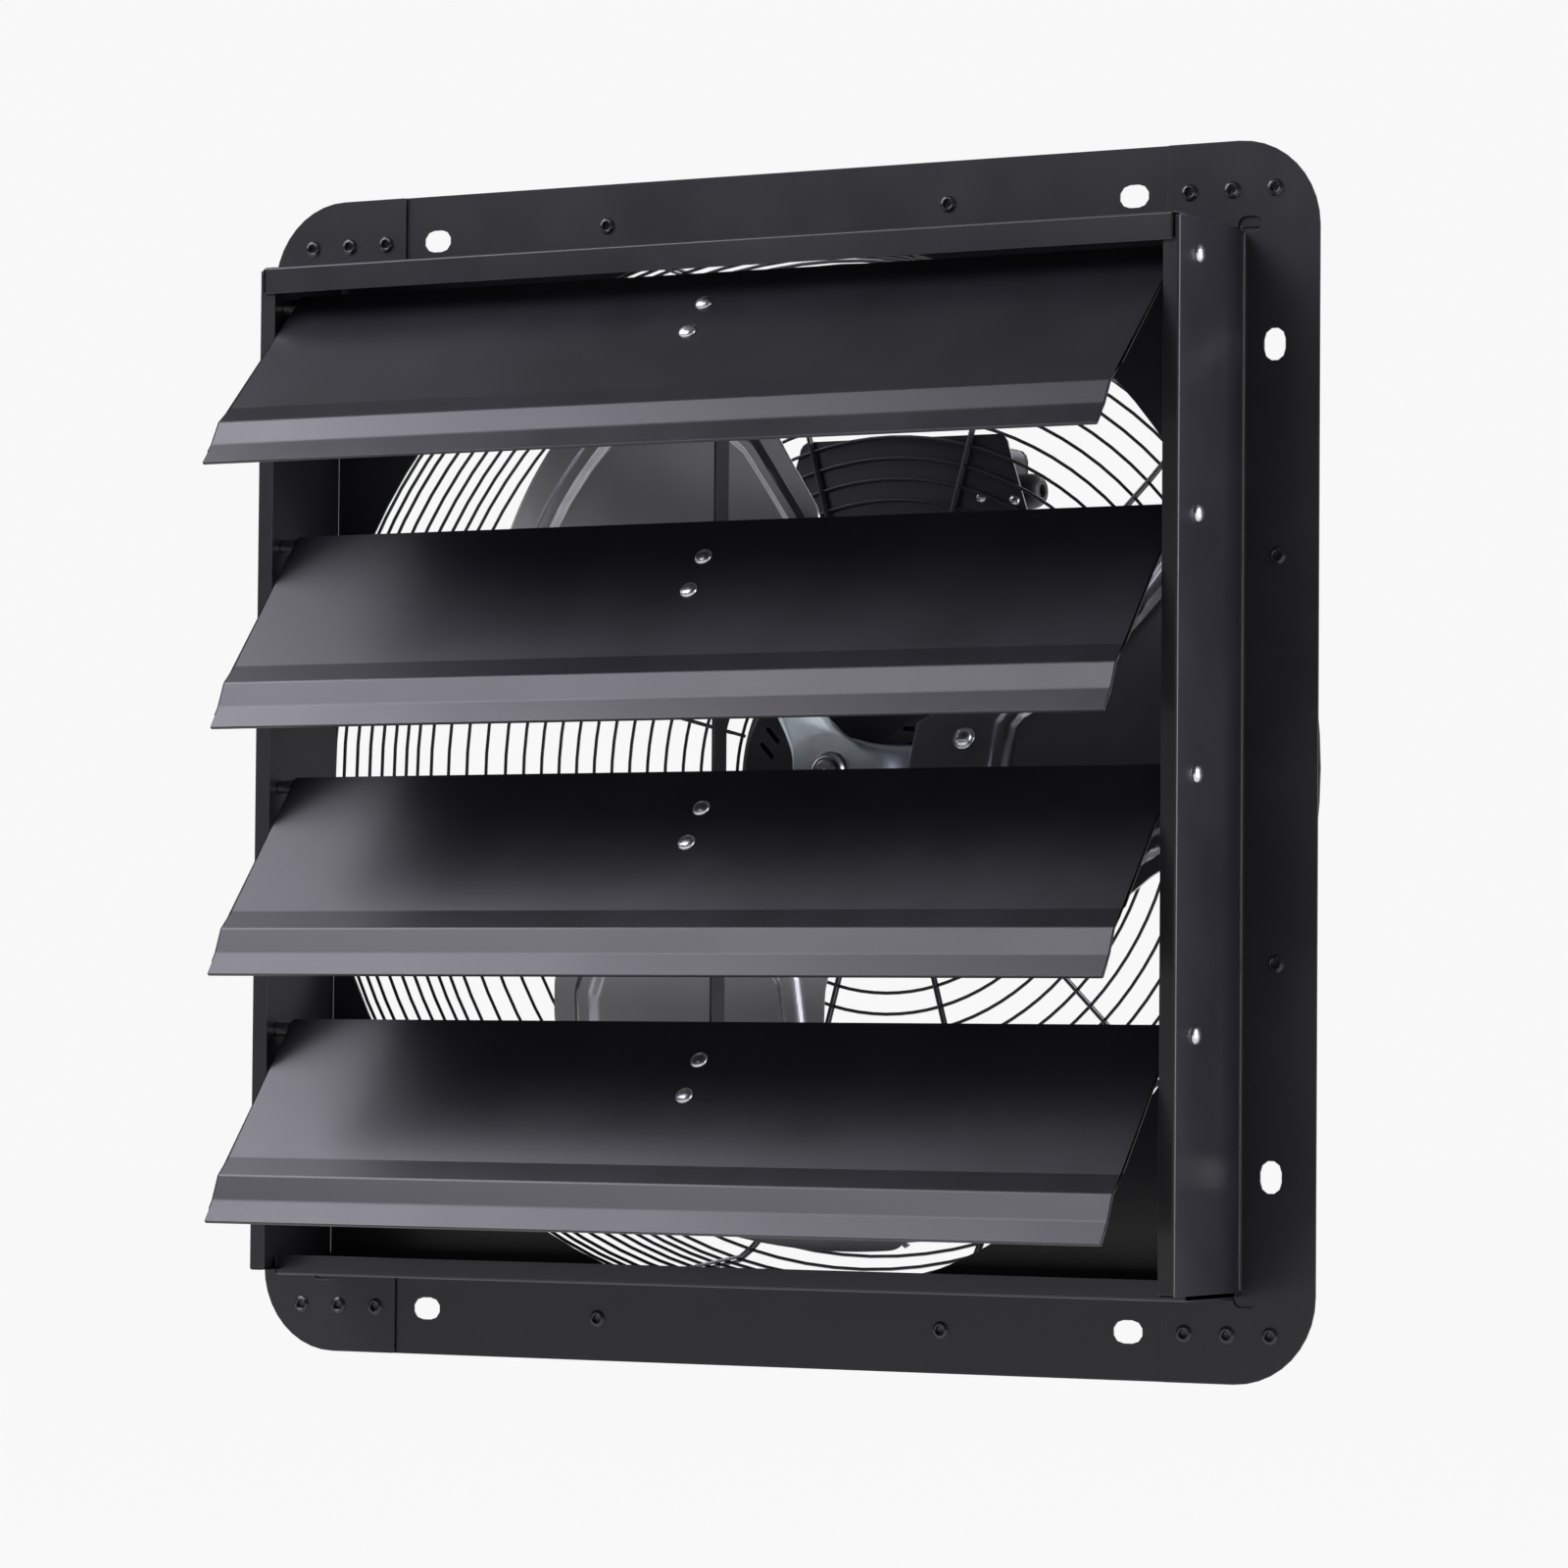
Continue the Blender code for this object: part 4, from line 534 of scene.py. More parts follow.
def rounded_copy(node, name, fold, trims=None):
    """A copy of a sheet or moulded node, folds and cut edges rounded, flat faces kept flat."""
    piece = bpy.data.objects.new(name, NODES[node].data.copy())
    piece.data.name = name
    bpy.context.scene.collection.objects.link(piece)
    merged(piece)
    if trims:
        cut_away(piece, trims)
    bpy.ops.object.mode_set(mode="EDIT")
    bpy.ops.mesh.select_all(action="SELECT")
    bpy.ops.mesh.dissolve_limited(angle_limit=math.radians(FLAT_TURN))
    bpy.ops.object.mode_set(mode="OBJECT")
    mesh = piece.data
    faces_of = {}
    for face in mesh.polygons:
        for key in face.edge_keys:
            faces_of.setdefault(key, []).append(face)
    weights = mesh.attributes.new("bevel_weight_edge", "FLOAT", "EDGE")
    for line in mesh.edges:
        sides = faces_of.get(tuple(sorted(line.vertices)), [])
        if len(sides) != 2:
            continue
        turn = math.degrees(sides[0].normal.angle(sides[1].normal, 0))
        run = (mesh.vertices[line.vertices[0]].co - mesh.vertices[line.vertices[1]].co).length
        width = min(face.area for face in sides) / max(run, 1e-6)
        if turn > SHARP_TURN:
            weights.data[line.index].value = min(1, EDGE_SHARE * width / fold)
        elif turn > FOLD_TURN and run > FOLD_RUN and width > FOLD_SPAN * fold:
            weights.data[line.index].value = 1
    rounding = piece.modifiers.new("Folds", "BEVEL")
    rounding.width = fold
    rounding.segments = 3
    rounding.limit_method = "WEIGHT"
    rounding.use_clamp_overlap = False
    levelled(piece)
    return piece


def levelled(piece):
    """Smooth shading whose normals follow the larger faces."""
    take(piece)
    bpy.ops.object.shade_smooth()
    weighing = piece.modifiers.new("Normals", "WEIGHTED_NORMAL")
    weighing.weight = NORMAL_WEIGHT
    weighing.keep_sharp = False
    apply_all(piece)
    return piece


def formed(node, fold):
    piece = rounded_copy(node, f"{node}_formed", fold)
    hand_over(piece, body_of_node(node), slot_of(node), [node])


ALONG_X = Matrix.Rotation(-math.pi / 2, 4, "Z")  # lays a body turned about Y along +X
LOUVER_PIVOT_Y = -0.0499
LOUVER_PIVOTS_Z = (0.2232, 0.1075, -0.0082, -0.1239)
LOUVER_ANGLES = tuple(math.radians(a) for a in (45.5, 39.5, 39.5, 39.5))
WALL_X, EAR_X = 0.2428, 0.2337
EAR_TRIM = (0.0185, 0.0855, -0.0300, 0.0023)  # first and last u, rear and front v
EAR_TRIM_DEPTH = 0.0050


def louver_place(index):
    """From a louver's own (x, u, v) to its place: u down the sheet, v out of its face."""
    angle = LOUVER_ANGLES[index]
    down = Vector((0, -math.sin(angle), -math.cos(angle)))
    out = Vector((0, -math.cos(angle), math.sin(angle)))
    pivot = Vector((0, LOUVER_PIVOT_Y, LOUVER_PIVOTS_Z[index]))
    return lambda x, u, v: Vector((x, 0, 0)) + pivot + down * u + out * v


def louver_matrix(index):
    placed = louver_place(index)
    origin = placed(0, 0, 0)
    down, out = placed(0, 1, 0) - origin, placed(0, 0, 1) - origin
    turn = Matrix((Vector((1, 0, 0)), down, out)).transposed()
    return Matrix.Translation(origin) @ turn.to_4x4()


# Operators

class FAN_OT_plain_nodes(bpy.types.Operator):
    """Gives each carried-over node its finish"""
    bl_idname = "exhaust_fan.plain_nodes"
    bl_label = "Finish carried-over nodes"

    def execute(self, context):
        for name, piece in NODES.items():
            material = FINISH_OF_SLOT[slot_of(name)]()
            for place in piece.material_slots:
                place.material = material
        return {"FINISHED"}


TAB_X = (0.2375, 0.2535)
TAB_FOOT_Z = 0.2320
TAB_REACH = ((-1, 0.2412), (1, 0.2398))
TAB_FRONT_Y = -0.0002
TAB_SHEET = 0.0008


class FAN_OT_sheet_frame(bpy.types.Operator):
    """Rounds the folds and edges of the flange, channels and walls and closes the corner reliefs"""
    bl_idname = "exhaust_fan.sheet_frame"
    bl_label = "Sheet frame"

    def execute(self, context):
        sheet = context.scene.fan_sheet
        for name in ("frame_top", "frame_bottom", "frame_left", "frame_right"):
            formed(name, sheet.fold_radius)
        left, right = TAB_X
        number = 0
        for sz, reach in TAB_REACH:
            outline = [(left, TAB_FOOT_Z), (right, TAB_FOOT_Z), (right, reach), (left, reach)]
            tab = polygon("tab_pattern", [(x, TAB_FRONT_Y, z) for x, z in outline])
            thick(tab, TAB_SHEET, sheet.edge_radius, -1.0)
            for sx in (-1, 1):
                number += 1
                made = copy_of(tab, f"corner_tab_{number}", Matrix.Diagonal((sx, 1, sz, 1)))
                hand_over(made, "frame", "black_steel")
            bpy.data.objects.remove(tab)
        return {"FINISHED"}


class FAN_OT_small_sheet(bpy.types.Operator):
    """Rounds the edges of the brackets, tie bar, rear bell, box plate, case and lid"""
    bl_idname = "exhaust_fan.small_sheet"
    bl_label = "Brackets, plates and box"

    def execute(self, context):
        edge = context.scene.fan_sheet.bend_radius / 2
        for name in ("tie_bar", "motor_rear_bell", "box_plate", "control_box_case",
                     "control_box_lid", "louver_bracket_1"):
            formed(name, edge)
        bracket = rounded_copy("louver_bracket_2", "bracket_pattern", edge)
        for index in (1, 2, 3):
            node = f"louver_bracket_{index + 1}"
            move = louver_matrix(index) @ louver_matrix(1).inverted()
            made = copy_of(bracket, node + "_formed", move)
            hand_over(made, f"louver_{index + 1}", "black_steel", [node])
        bpy.data.objects.remove(bracket)
        return {"FINISHED"}


# The gland's turned outline, as (radius, y) from its inner end and from the case's wall
GLAND_INSIDE = ((0.0030, 0), (0.0072, 0), (0.0075, 0.0004))
GLAND_OUTSIDE = ((0.0075, -0.0023), (0.0050, -0.0023), (0.0050, 0.0003), (0.0092, 0.0003),
                 (0.0092, 0.0030), (0.0078, 0.0034), (0.0078, 0.0046), (0.0086, 0.0052),
                 (0.0086, 0.0130))
GLAND_DOME = tuple((0.0046 + 0.0040 * math.cos(a), 0.0130 + 0.0070 * math.sin(a))
                   for a in (math.pi / 2 * i / 6 for i in range(1, 7)))
GLAND_MOUTH = ((0.0034, 0.0196), (0.0030, 0.0180))
BOX_SCREW_OUTLINE = ((0, -0.0019), (0.0012, -0.0018), (0.0022, -0.0013), (0.0028, -0.0005),
                     (0.0029, 0), (0.0015, 0), (0.0015, 0.0035), (0, 0.0039))
BOX_SCREWS = ((0.0488, 0.1346), (0.0668, 0.1325))


class FAN_OT_box_fittings(bpy.types.Operator):
    """Turns the domed cable gland and sets the box plate's two screws"""
    bl_idname = "exhaust_fan.box_fittings"
    bl_label = "Gland and box screws"

    def execute(self, context):
        low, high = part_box("cable_gland")
        y, z = (low[1] + high[1]) / 2, (low[2] + high[2]) / 2
        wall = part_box("control_box_case")[1][0]
        outside = GLAND_OUTSIDE + GLAND_DOME + GLAND_MOUTH
        profile = shifted(GLAND_INSIDE, low[0]) + shifted(outside, wall)
        gland = smooth(lathe("cable_gland_domed", profile, 40, closed=True), 35)
        gland.data.transform(Matrix.Translation((0, y, z)) @ ALONG_X)
        hand_over(gland, "frame", "black_plastic", ["cable_gland"])
        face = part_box("box_plate")[0][1]
        pattern = smooth(lathe("screw_pattern", BOX_SCREW_OUTLINE, 24), 45)
        for number, (x, height) in enumerate(BOX_SCREWS, 1):
            place = Matrix.Translation((x, face, height))
            hand_over(copy_of(pattern, f"box_screw_{number}", place), "frame", "bright_steel")
        bpy.data.objects.remove(pattern)
        return {"FINISHED"}


def bevel_edges(piece, chosen, width, segments):
    """Rounds the edges whose two ends satisfy chosen."""
    take(piece)
    mesh = piece.data
    for item in (*mesh.vertices, *mesh.polygons):
        item.select = False
    for line in mesh.edges:
        line.select = chosen(*(mesh.vertices[i].co for i in line.vertices))
    bpy.ops.object.mode_set(mode="EDIT")
    bpy.ops.mesh.select_mode(type="EDGE")
    bpy.ops.mesh.bevel(offset=width, segments=segments, affect="EDGES")
    bpy.ops.object.mode_set(mode="OBJECT")


class FAN_OT_louvers(bpy.types.Operator):
    """Rounds one louver's folds, trims its end ears at the wall and copies it to the others"""
    bl_idname = "exhaust_fan.louvers"
    bl_label = "Louvers"

    def execute(self, context):
        placed = louver_place(0)
        start, end, rear, front = EAR_TRIM
        corners = ((start, front), (start, rear), (end, rear), (end, front))
        trims = []
        for side in (-1, 1):
            trims.append(polygon("ear_trim", [placed(side * EAR_X, u, v) for u, v in corners]))
            thick(trims[-1], EAR_TRIM_DEPTH)
        trims = merged(joined(trims))
        edge = context.scene.fan_sheet.bend_radius / 2
        blank = rounded_copy("louver_1", "louver_pattern", edge, trims)
        bpy.data.objects.remove(trims)
        for index in range(len(LOUVER_ANGLES)):
            node = f"louver_{index + 1}"
            move = louver_matrix(index) @ louver_matrix(0).inverted()
            hand_over(copy_of(blank, node + "_sheet", move), node, "black_steel", [node])
        bpy.data.objects.remove(blank)
        return {"FINISHED"}


# Rings of the guard's side, as (radius, y), from the flange to the back
GUARD_SIDE_RINGS = (
    (0.2497, 0.0010), (0.2490, 0.0079), (0.2483, 0.0155), (0.2474, 0.0256), (0.2464, 0.0356),
    (0.2455, 0.0454), (0.2446, 0.0552), (0.2437, 0.0647), (0.2429, 0.0740), (0.2419, 0.0851),
    (0.2373, 0.0940), (0.2313, 0.1017), (0.2244, 0.1087), (0.2164, 0.1143), (0.2067, 0.1160),
)
GUARD_BACK_Y = 0.11625
GUARD_INNER = 0.0840
WIRE_SIDES = 8
# Side of the rings' wire, then the radius where its free and its clamped struts end
STRUT_ENDS = ((1, (0.0830, 0.0775)), (-1, (0.0895, 0.0895)))
CLAMPED_PAIRS = (1, 4, 7, 10)
FIRST_STRUT = math.radians(15)
STRUT_FOOT_Y = -0.0004
STRAIGHT_RINGS = 6
STRUT_TURN = 0.0087  # from the last side ring in to where the struts lie flat
FOOT_SPOTS = ((0.0916, 0.2600, 0.0009), (0.2600, 0.0916, -0.0004))  # (x, z, y of its flat)
FOOT_TOE, FOOT_KNEE, FOOT_ANKLE = 0.0050, -0.0083, -0.0143
FOOT_RING_GAP = 0.0009
FOOT_HALF_WIDTH = 0.0070
FOOT_SHEET = 0.0012
FOOT_EDGE = 0.0002


class FAN_OT_wire_guard(bpy.types.Operator):
    """Winds the guard's rings, bends its paired struts and folds its eight feet"""
    bl_idname = "exhaust_fan.wire_guard"
    bl_label = "Wire guard"

    def execute(self, context):
        guard = context.scene.fan_guard
        self.wind_rings(guard)
        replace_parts(self.bend_struts(guard)[0], "guard_back")
        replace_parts(self.fold_feet()[0], "guard_side")
        return {"FINISHED"}

    def wind_rings(self, guard):
        rings = list(GUARD_SIDE_RINGS)
        last = rings[-1][0]
        count = int((last - GUARD_INNER) / guard.back_pitch)
        pitch = (last - GUARD_INNER) / count
        rings += [(last - pitch * (i + 1), GUARD_BACK_Y) for i in range(count)]
        half = guard.ring_wire / 2
        angles = [2 * math.pi * i / WIRE_SIDES for i in range(WIRE_SIDES)]
        for number, (radius, y) in enumerate(rings, 1):
            section = [(radius + half * math.cos(a), y + half * math.sin(a)) for a in angles]
            ring = lathe(f"guard_ring_{number:02d}", section, guard.ring_steps, closed=True)
            hand_over(smooth(ring, 60), "frame", "black_steel")

    def bend_struts(self, guard):
        struts = []
        for side, ends in STRUT_ENDS:
            offset = guard.strut_out if side > 0 else -guard.strut_in
            for clamped, end in enumerate(ends):
                path = [(r, y, 0) for r, y in strut_path(offset, end)]
                strut = wire("strut_pattern", path, guard.strut_wire / 2)
                for pair in range(guard.strut_pairs):
                    if (pair in CLAMPED_PAIRS) != bool(clamped):
                        continue
                    angle = FIRST_STRUT + pair * 2 * math.pi / guard.strut_pairs
                    name = f"guard_strut_{len(struts) + 1:02d}"
                    struts.append(copy_of(strut, name, Matrix.Rotation(-angle, 4, "Y")))
                    hand_over(struts[-1], "frame", "black_steel")
                bpy.data.objects.remove(strut)
        return struts

    def fold_feet(self):
        feet = []
        for x, z, level in FOOT_SPOTS:
            near = math.hypot(x, z) - FOOT_RING_GAP - GUARD_SIDE_RINGS[0][0]
            profile = [(FOOT_TOE, level), (FOOT_KNEE, level), (FOOT_ANKLE, FOOT_SHEET),
                       (-near, FOOT_SHEET)]
            blank = ribbon("guard_foot", profile, FOOT_HALF_WIDTH,
                           lambda side, a, y: Vector((a, y, side)))
            bevel_edges(blank, foot_fold, FOOT_SHEET, 2)
            thick(blank, FOOT_SHEET, FOOT_EDGE)
            smooth(blank, 30)
            for sx, sz in ((-1, -1), (-1, 1), (1, -1), (1, 1)):
                turn = Matrix.Rotation(-math.atan2(sz * z, sx * x), 4, "Y")
                place = Matrix.Translation((sx * x, 0, sz * z)) @ turn
                feet.append(copy_of(blank, f"guard_foot_{len(feet) + 1}", place))
                hand_over(feet[-1], "frame", "black_steel")
            bpy.data.objects.remove(blank)
        return feet


def foot_fold(a, b):
    """Whether the edge from a to b is one of the foot's two folds."""
    slack = FOOT_SHEET / 2
    across = abs(a.z - b.z) > FOOT_HALF_WIDTH
    return across and FOOT_ANKLE - slack < a.x < FOOT_KNEE + slack


def strut_path(offset, end):
    """A strut's middle line, offset outwards from the rings' wire, down the side, over the back."""
    rings = GUARD_SIDE_RINGS
    path = [(rings[0][0] + offset, STRUT_FOOT_Y)]
    curve = rings[STRAIGHT_RINGS:]
    for before, ring, after in zip(curve, curve[1:], curve[2:]):
        along = Vector((after[0] - before[0], after[1] - before[1])).normalized()
        path.append((ring[0] + offset * along.y, ring[1] - offset * along.x))
    return path + [(rings[-1][0] - STRUT_TURN, GUARD_BACK_Y + offset), (end, GUARD_BACK_Y + offset)]


def wire(name, points, radius):
    """A round wire bent along points."""
    line = bpy.data.curves.new(name, "CURVE")
    line.dimensions = "3D"
    path = line.splines.new("POLY")
    path.points.add(len(points) - 1)
    for spot, point in zip(path.points, points):
        spot.co = (*point, 1)
    line.bevel_depth = radius
    line.bevel_resolution = 1
    line.use_fill_caps = True
    made = bpy.data.objects.new(name, line)
    bpy.context.scene.collection.objects.link(made)
    take(made)
    bpy.ops.object.convert(target="MESH")
    return smooth(merged(bpy.context.object), 50)


# Each row's trailing and leading edge, as (out, side) over the tip radius, then where the
# rib's two legs cross the row, as shares of its width
BLADE_ROW_SHARES = (
    (0.197, -0.101, 0.197, 0.101, 0.35, 0.65),
    (0.289, -0.192, 0.284, 0.147, 0.35, 0.70),
    (0.394, -0.290, 0.381, 0.188, 0.29, 0.78),
    (0.416, -0.309, 0.400, 0.192, 0.22, 0.80),
    (0.442, -0.315, 0.420, 0.199, 0.125, 0.85),
    (0.560, -0.302, 0.494, 0.234, 0.12, 0.885),
    (0.665, -0.295, 0.577, 0.302, 0.12, 0.89),
    (0.748, -0.260, 0.647, 0.381, 0.12, 0.895),
    (0.792, -0.219, 0.691, 0.440, 0.10, 0.90),
    (0.847, -0.192, 0.718, 0.488, 0.09, 0.90),
    (0.868, -0.186, 0.733, 0.501, 0.10, 0.90),
    (0.890, -0.178, 0.748, 0.515, 0.11, 0.90),
    (0.990, -0.139, 0.793, 0.609, 0.13, 0.90),
)
RIB_ROWS = (3, 4, 5, 6, 7, 8, 9, 10, 11, 11.15)
RIB_SLOPE = 0.62  # share of the rib's half width that its flank takes
TIP_RADIUS = 0.2286
ROTOR_Y = 0.0507
ROOT_PITCH, TIP_PITCH = math.radians(24), math.radians(12.5)
ROOT_FLAT = 0.0800
BLADES = 3
STOPS_PER_ROW = 8
TIP_REACH = 8  # cells from a tip corner to the point that gives its edge's direction


def blade_depth(out, side):
    """Depth of a blade's middle surface: its pitch flattens from root to tip."""
    share = min(max((out - ROOT_FLAT) / (TIP_RADIUS - ROOT_FLAT), 0), 1)
    return ROTOR_Y + math.tan(ROOT_PITCH + (TIP_PITCH - ROOT_PITCH) * share) * side


def blade_point(row, share):
    """A point (out, side) of the blade's plan, with rows straight at the root, arcs at the tip."""
    low = min(int(row), len(BLADE_ROW_SHARES) - 2)
    part = row - low
    ra, sa, rb, sb = [(a + (b - a) * part) * TIP_RADIUS
                      for a, b in zip(BLADE_ROW_SHARES[low][:4], BLADE_ROW_SHARES[low + 1][:4])]
    straight = Vector((ra + (rb - ra) * share, sa + (sb - sa) * share))
    radius = math.hypot(ra, sa) + (math.hypot(rb, sb) - math.hypot(ra, sa)) * share
    angle = math.atan2(sa, ra) + (math.atan2(sb, rb) - math.atan2(sa, ra)) * share
    curved = Vector((radius * math.cos(angle), radius * math.sin(angle)))
    return straight.lerp(curved, (row / (len(BLADE_ROW_SHARES) - 1)) ** 2)


def rib_shares(row):
    """Where the rib's two legs cross a row, from the trailing edge to the leading one."""
    low = min(int(row), len(BLADE_ROW_SHARES) - 2)
    before, after = BLADE_ROW_SHARES[low][4:], BLADE_ROW_SHARES[low + 1][4:]
    return [a + (b - a) * (row - low) for a, b in zip(before, after)]


def rib_loop():
    """The middle line of the pressed rib, round the blade's field, in plan."""
    shares = [rib_shares(row) for row in RIB_ROWS]
    out = [blade_point(row, low) for row, (low, _) in zip(RIB_ROWS, shares)]
    back = [blade_point(row, high) for row, (_, high) in zip(RIB_ROWS, shares)]
    low, high = shares[-1]
    across = [blade_point(RIB_ROWS[-1], low + (high - low) * i / 6) for i in range(1, 6)]
    return out + across + back[::-1]


def distance_to(line, spot):
    nearest = 1.0
    for start, end in zip(line, line[1:] + line[:1]):
        along = end - start
        share = min(max((spot - start).dot(along) / along.length_squared, 0), 1)
        nearest = min(nearest, (start + along * share - spot).length)
    return nearest


def grid_of(name, columns, rows, place):
    """A sheet of columns by rows cells whose corners lie at place(column share, row share)."""
    clear_selection()
    bpy.ops.mesh.primitive_grid_add(x_subdivisions=columns, y_subdivisions=rows, size=1)
    piece = named(name)
    for vert in piece.data.vertices:
        vert.co = place(min(max(vert.co.x + 0.5, 0), 1), min(max(vert.co.y + 0.5, 0), 1))
    return piece


def sheet_rows(count):
    """Row numbers at even distances along the blade's middle."""
    steps = STOPS_PER_ROW * (len(BLADE_ROW_SHARES) - 1)
    stops = [blade_point(i / STOPS_PER_ROW, 0.5) for i in range(steps + 1)]
    reach = [0.0]
    for a, b in zip(stops, stops[1:]):
        reach.append(reach[-1] + (b - a).length)
    rows = []
    spot = 0
    for i in range(count + 1):
        goal = reach[-1] * i / count
        while spot < len(reach) - 2 and reach[spot + 1] < goal:
            spot += 1
        part = (goal - reach[spot]) / (reach[spot + 1] - reach[spot])
        rows.append((spot + part) / STOPS_PER_ROW)
    return rows


def turn_of(index):
    return Matrix.Rotation(-index * 2 * math.pi / BLADES, 4, "Y")


class FAN_OT_blades(bpy.types.Operator):
    """Presses one twisted blade with its rib and rounded tip and copies it round the hub"""
    bl_idname = "exhaust_fan.blades"
    bl_label = "Blades"

    def execute(self, context):
        looks = context.scene.fan_blades
        columns, count = looks.columns, looks.rows
        rows = sheet_rows(count)
        plan = [[blade_point(row, c / columns) for c in range(columns + 1)] for row in rows]
        for _ in range(looks.smoothing):
            plan = [plan[0]] + [
                [(a + 2 * b + c) / 4 for a, b, c in zip(plan[i - 1], plan[i], plan[i + 1])]
                for i in range(1, count)
            ] + [plan[-1]]
        for side, radius in ((columns, looks.leading_corner), (0, looks.trailing_corner)):
            self.round_tip(plan, side, radius)
        loop = rib_loop()

        def place(across, along):
            spot = plan[round(along * count)][round(across * columns)]
            far = distance_to(loop, spot) / looks.rib_half_width
            lift = looks.rib_height * eased((1 - far) / RIB_SLOPE)
            return spot.x, blade_depth(spot.x, spot.y) - lift, spot.y

        blank = merged(grid_of("blade_pattern", columns, count, place), 0.0001)
        thick(blank, looks.sheet, 0.00025)
        smooth(blank, 30)
        for index in range(BLADES):
            node = f"blade_{index + 1}"
            made = copy_of(blank, node + "_pressed", turn_of(index))
            hand_over(made, "rotor", "blade_aluminium", [node])
        bpy.data.objects.remove(blank)
        return {"FINISHED"}

    def round_tip(self, plan, side, radius):
        """Draws the points outside a corner's arc in onto it."""
        corner = plan[-1][side]
        along = (plan[-TIP_REACH][side] - corner).normalized()
        inward = -TIP_REACH if side else TIP_REACH
        across = (plan[-1][side + inward] - corner).normalized()
        for line in plan:
            for i, spot in enumerate(line):
                step = spot - corner
                a, b = self.shares(step, along, across)
                if a < radius and b < radius:
                    gap = math.hypot(radius - a, radius - b)
                    if gap > radius:
                        a, b = (radius - (radius - v) * radius / gap for v in (a, b))
                        line[i] = corner + along * a + across * b

    def shares(self, step, along, across):
        """How far a step goes along each of two directions."""
        size = along.x * across.y - along.y * across.x
        return ((step.x * across.y - step.y * across.x) / size,
                (along.x * step.y - along.y * step.x) / size)


SPIDER_BORE, SPIDER_HUB = 0.0098, 0.0195
SPIDER_ARM = (0.0440, 0.0118)  # (out, half width) where the arm is narrowest
SPIDER_PAD = (0.0620, 0.0225, 0.0840)  # (out, half width) of the full pad, and its end
SPIDER_PAD_CORNER = 0.007
SPIDER_PULL = 0.030  # how strongly the arm's curve keeps its first direction
SPIDER_RING_SHARE = 0.12  # share of the rows that makes the ring round the bore
SPIDER_ROLL = 0.0022  # how far the arm's side edges roll back
SPIDER_SHEET, SPIDER_EDGE = 0.0025, 0.0006
SPIDER_BACK = 0.00215  # from the middle of a blade's sheet to the middle of the spider's
SPIDER_SINK = 0.0050  # how far the hub lies behind the pads


def eased(share):
    share = min(max(share, 0), 1)
    return share * share * (3 - 2 * share)


def spider_edge(reach):
    """A row's middle x, its edge (x, half width) and how far it has pitched, from 0 to 1."""
    start = Vector((math.cos(math.pi / BLADES), math.sin(math.pi / BLADES))) * SPIDER_HUB
    end = Vector(SPIDER_ARM)
    if reach < 0.5:
        t = reach / 0.5
        leave = Vector((start.y, -start.x)).normalized() * SPIDER_PULL
        arrive = Vector((1, 0)) * SPIDER_PULL
        edge = (start * (2 * t**3 - 3 * t**2 + 1) + leave * (t**3 - 2 * t**2 + t)
                + end * (3 * t**2 - 2 * t**3) + arrive * (t**3 - t**2))
        return SPIDER_HUB + (end.x - SPIDER_HUB) * t, edge.x, edge.y, eased(t)
    t = (reach - 0.5) / 0.5
    x = end.x + (SPIDER_PAD[2] - end.x) * t
    wide = eased((x - end.x) / (SPIDER_PAD[0] - end.x))
    half = end.y + (SPIDER_PAD[1] - end.y) * wide
    corner = SPIDER_PAD_CORNER
    if x > SPIDER_PAD[2] - corner:
        half -= corner - math.sqrt(max(corner**2 - (x - SPIDER_PAD[2] + corner) ** 2, 0))
    return x, x, half, 1


def spider_point(across, along):
    """A point of one third of the spider, from the bore out to the pad's end."""
    side = 2 * across - 1
    rings = SPIDER_RING_SHARE
    if along < rings:
        radius = SPIDER_BORE + (SPIDER_HUB - SPIDER_BORE) * along / rings
        angle = side * math.pi / BLADES
        x, z, pitched = radius * math.cos(angle), radius * math.sin(angle), 0
        rolled = 0
    else:
        reach = (along - rings) / (1 - rings)
        middle, edge, half, pitched = spider_edge(reach)
        radius = SPIDER_HUB
        x, z = middle + (edge - middle) * side * side, half * side
        near_edge = max((abs(side) - 0.7) / 0.3, 0)
        rolled = SPIDER_ROLL * near_edge ** 2 * eased(reach * 6) * eased((0.72 - reach) * 8)
    hub = ROTOR_Y + SPIDER_BACK + SPIDER_SINK
    arm = blade_depth(x, z) + SPIDER_BACK / math.cos(ROOT_PITCH)
    return x, hub + (arm - hub) * pitched + rolled, z


# Turned outlines as (radius, y), counted from the bush's nose, the shaft's two ends and the
# middle of a blade's sheet
BUSH_BORE, BUSH_NECK, BUSH_CHAMFER = 0.0062, 0.0095, 0.0005
BUSH_NOSE = ((BUSH_BORE, 0.0020), (0.0070, 0.0016), (0.0073, 0.0004), (0.0078, 0),
             (0.0086, 0.0001), (BUSH_NECK, 0.0014))
BUSH_COLLAR_Y = ROTOR_Y + SPIDER_BACK + SPIDER_SINK + 0.0014
SHAFT_FRONT = ((0, 0.0006), (0.0012, 0.0002), (0.0016, 0), (0.0051, 0), (0.0060, 0.0009))
SHAFT_REAR = ((0.0060, -0.0008), (0.0052, 0), (0, 0))
BOLT_HEAD = ((0, -0.0039), (0.0014, -0.0038), (0.0028, -0.0033), (0.0040, -0.0025),
             (0.0048, -0.0014), (0.0050, -0.0006), (0.0054, -0.0004), (0.0056, 0), (0.0030, 0),
             (0.0030, 0.0060), (0, 0.0060))
BOLT_SEAT = -0.0009
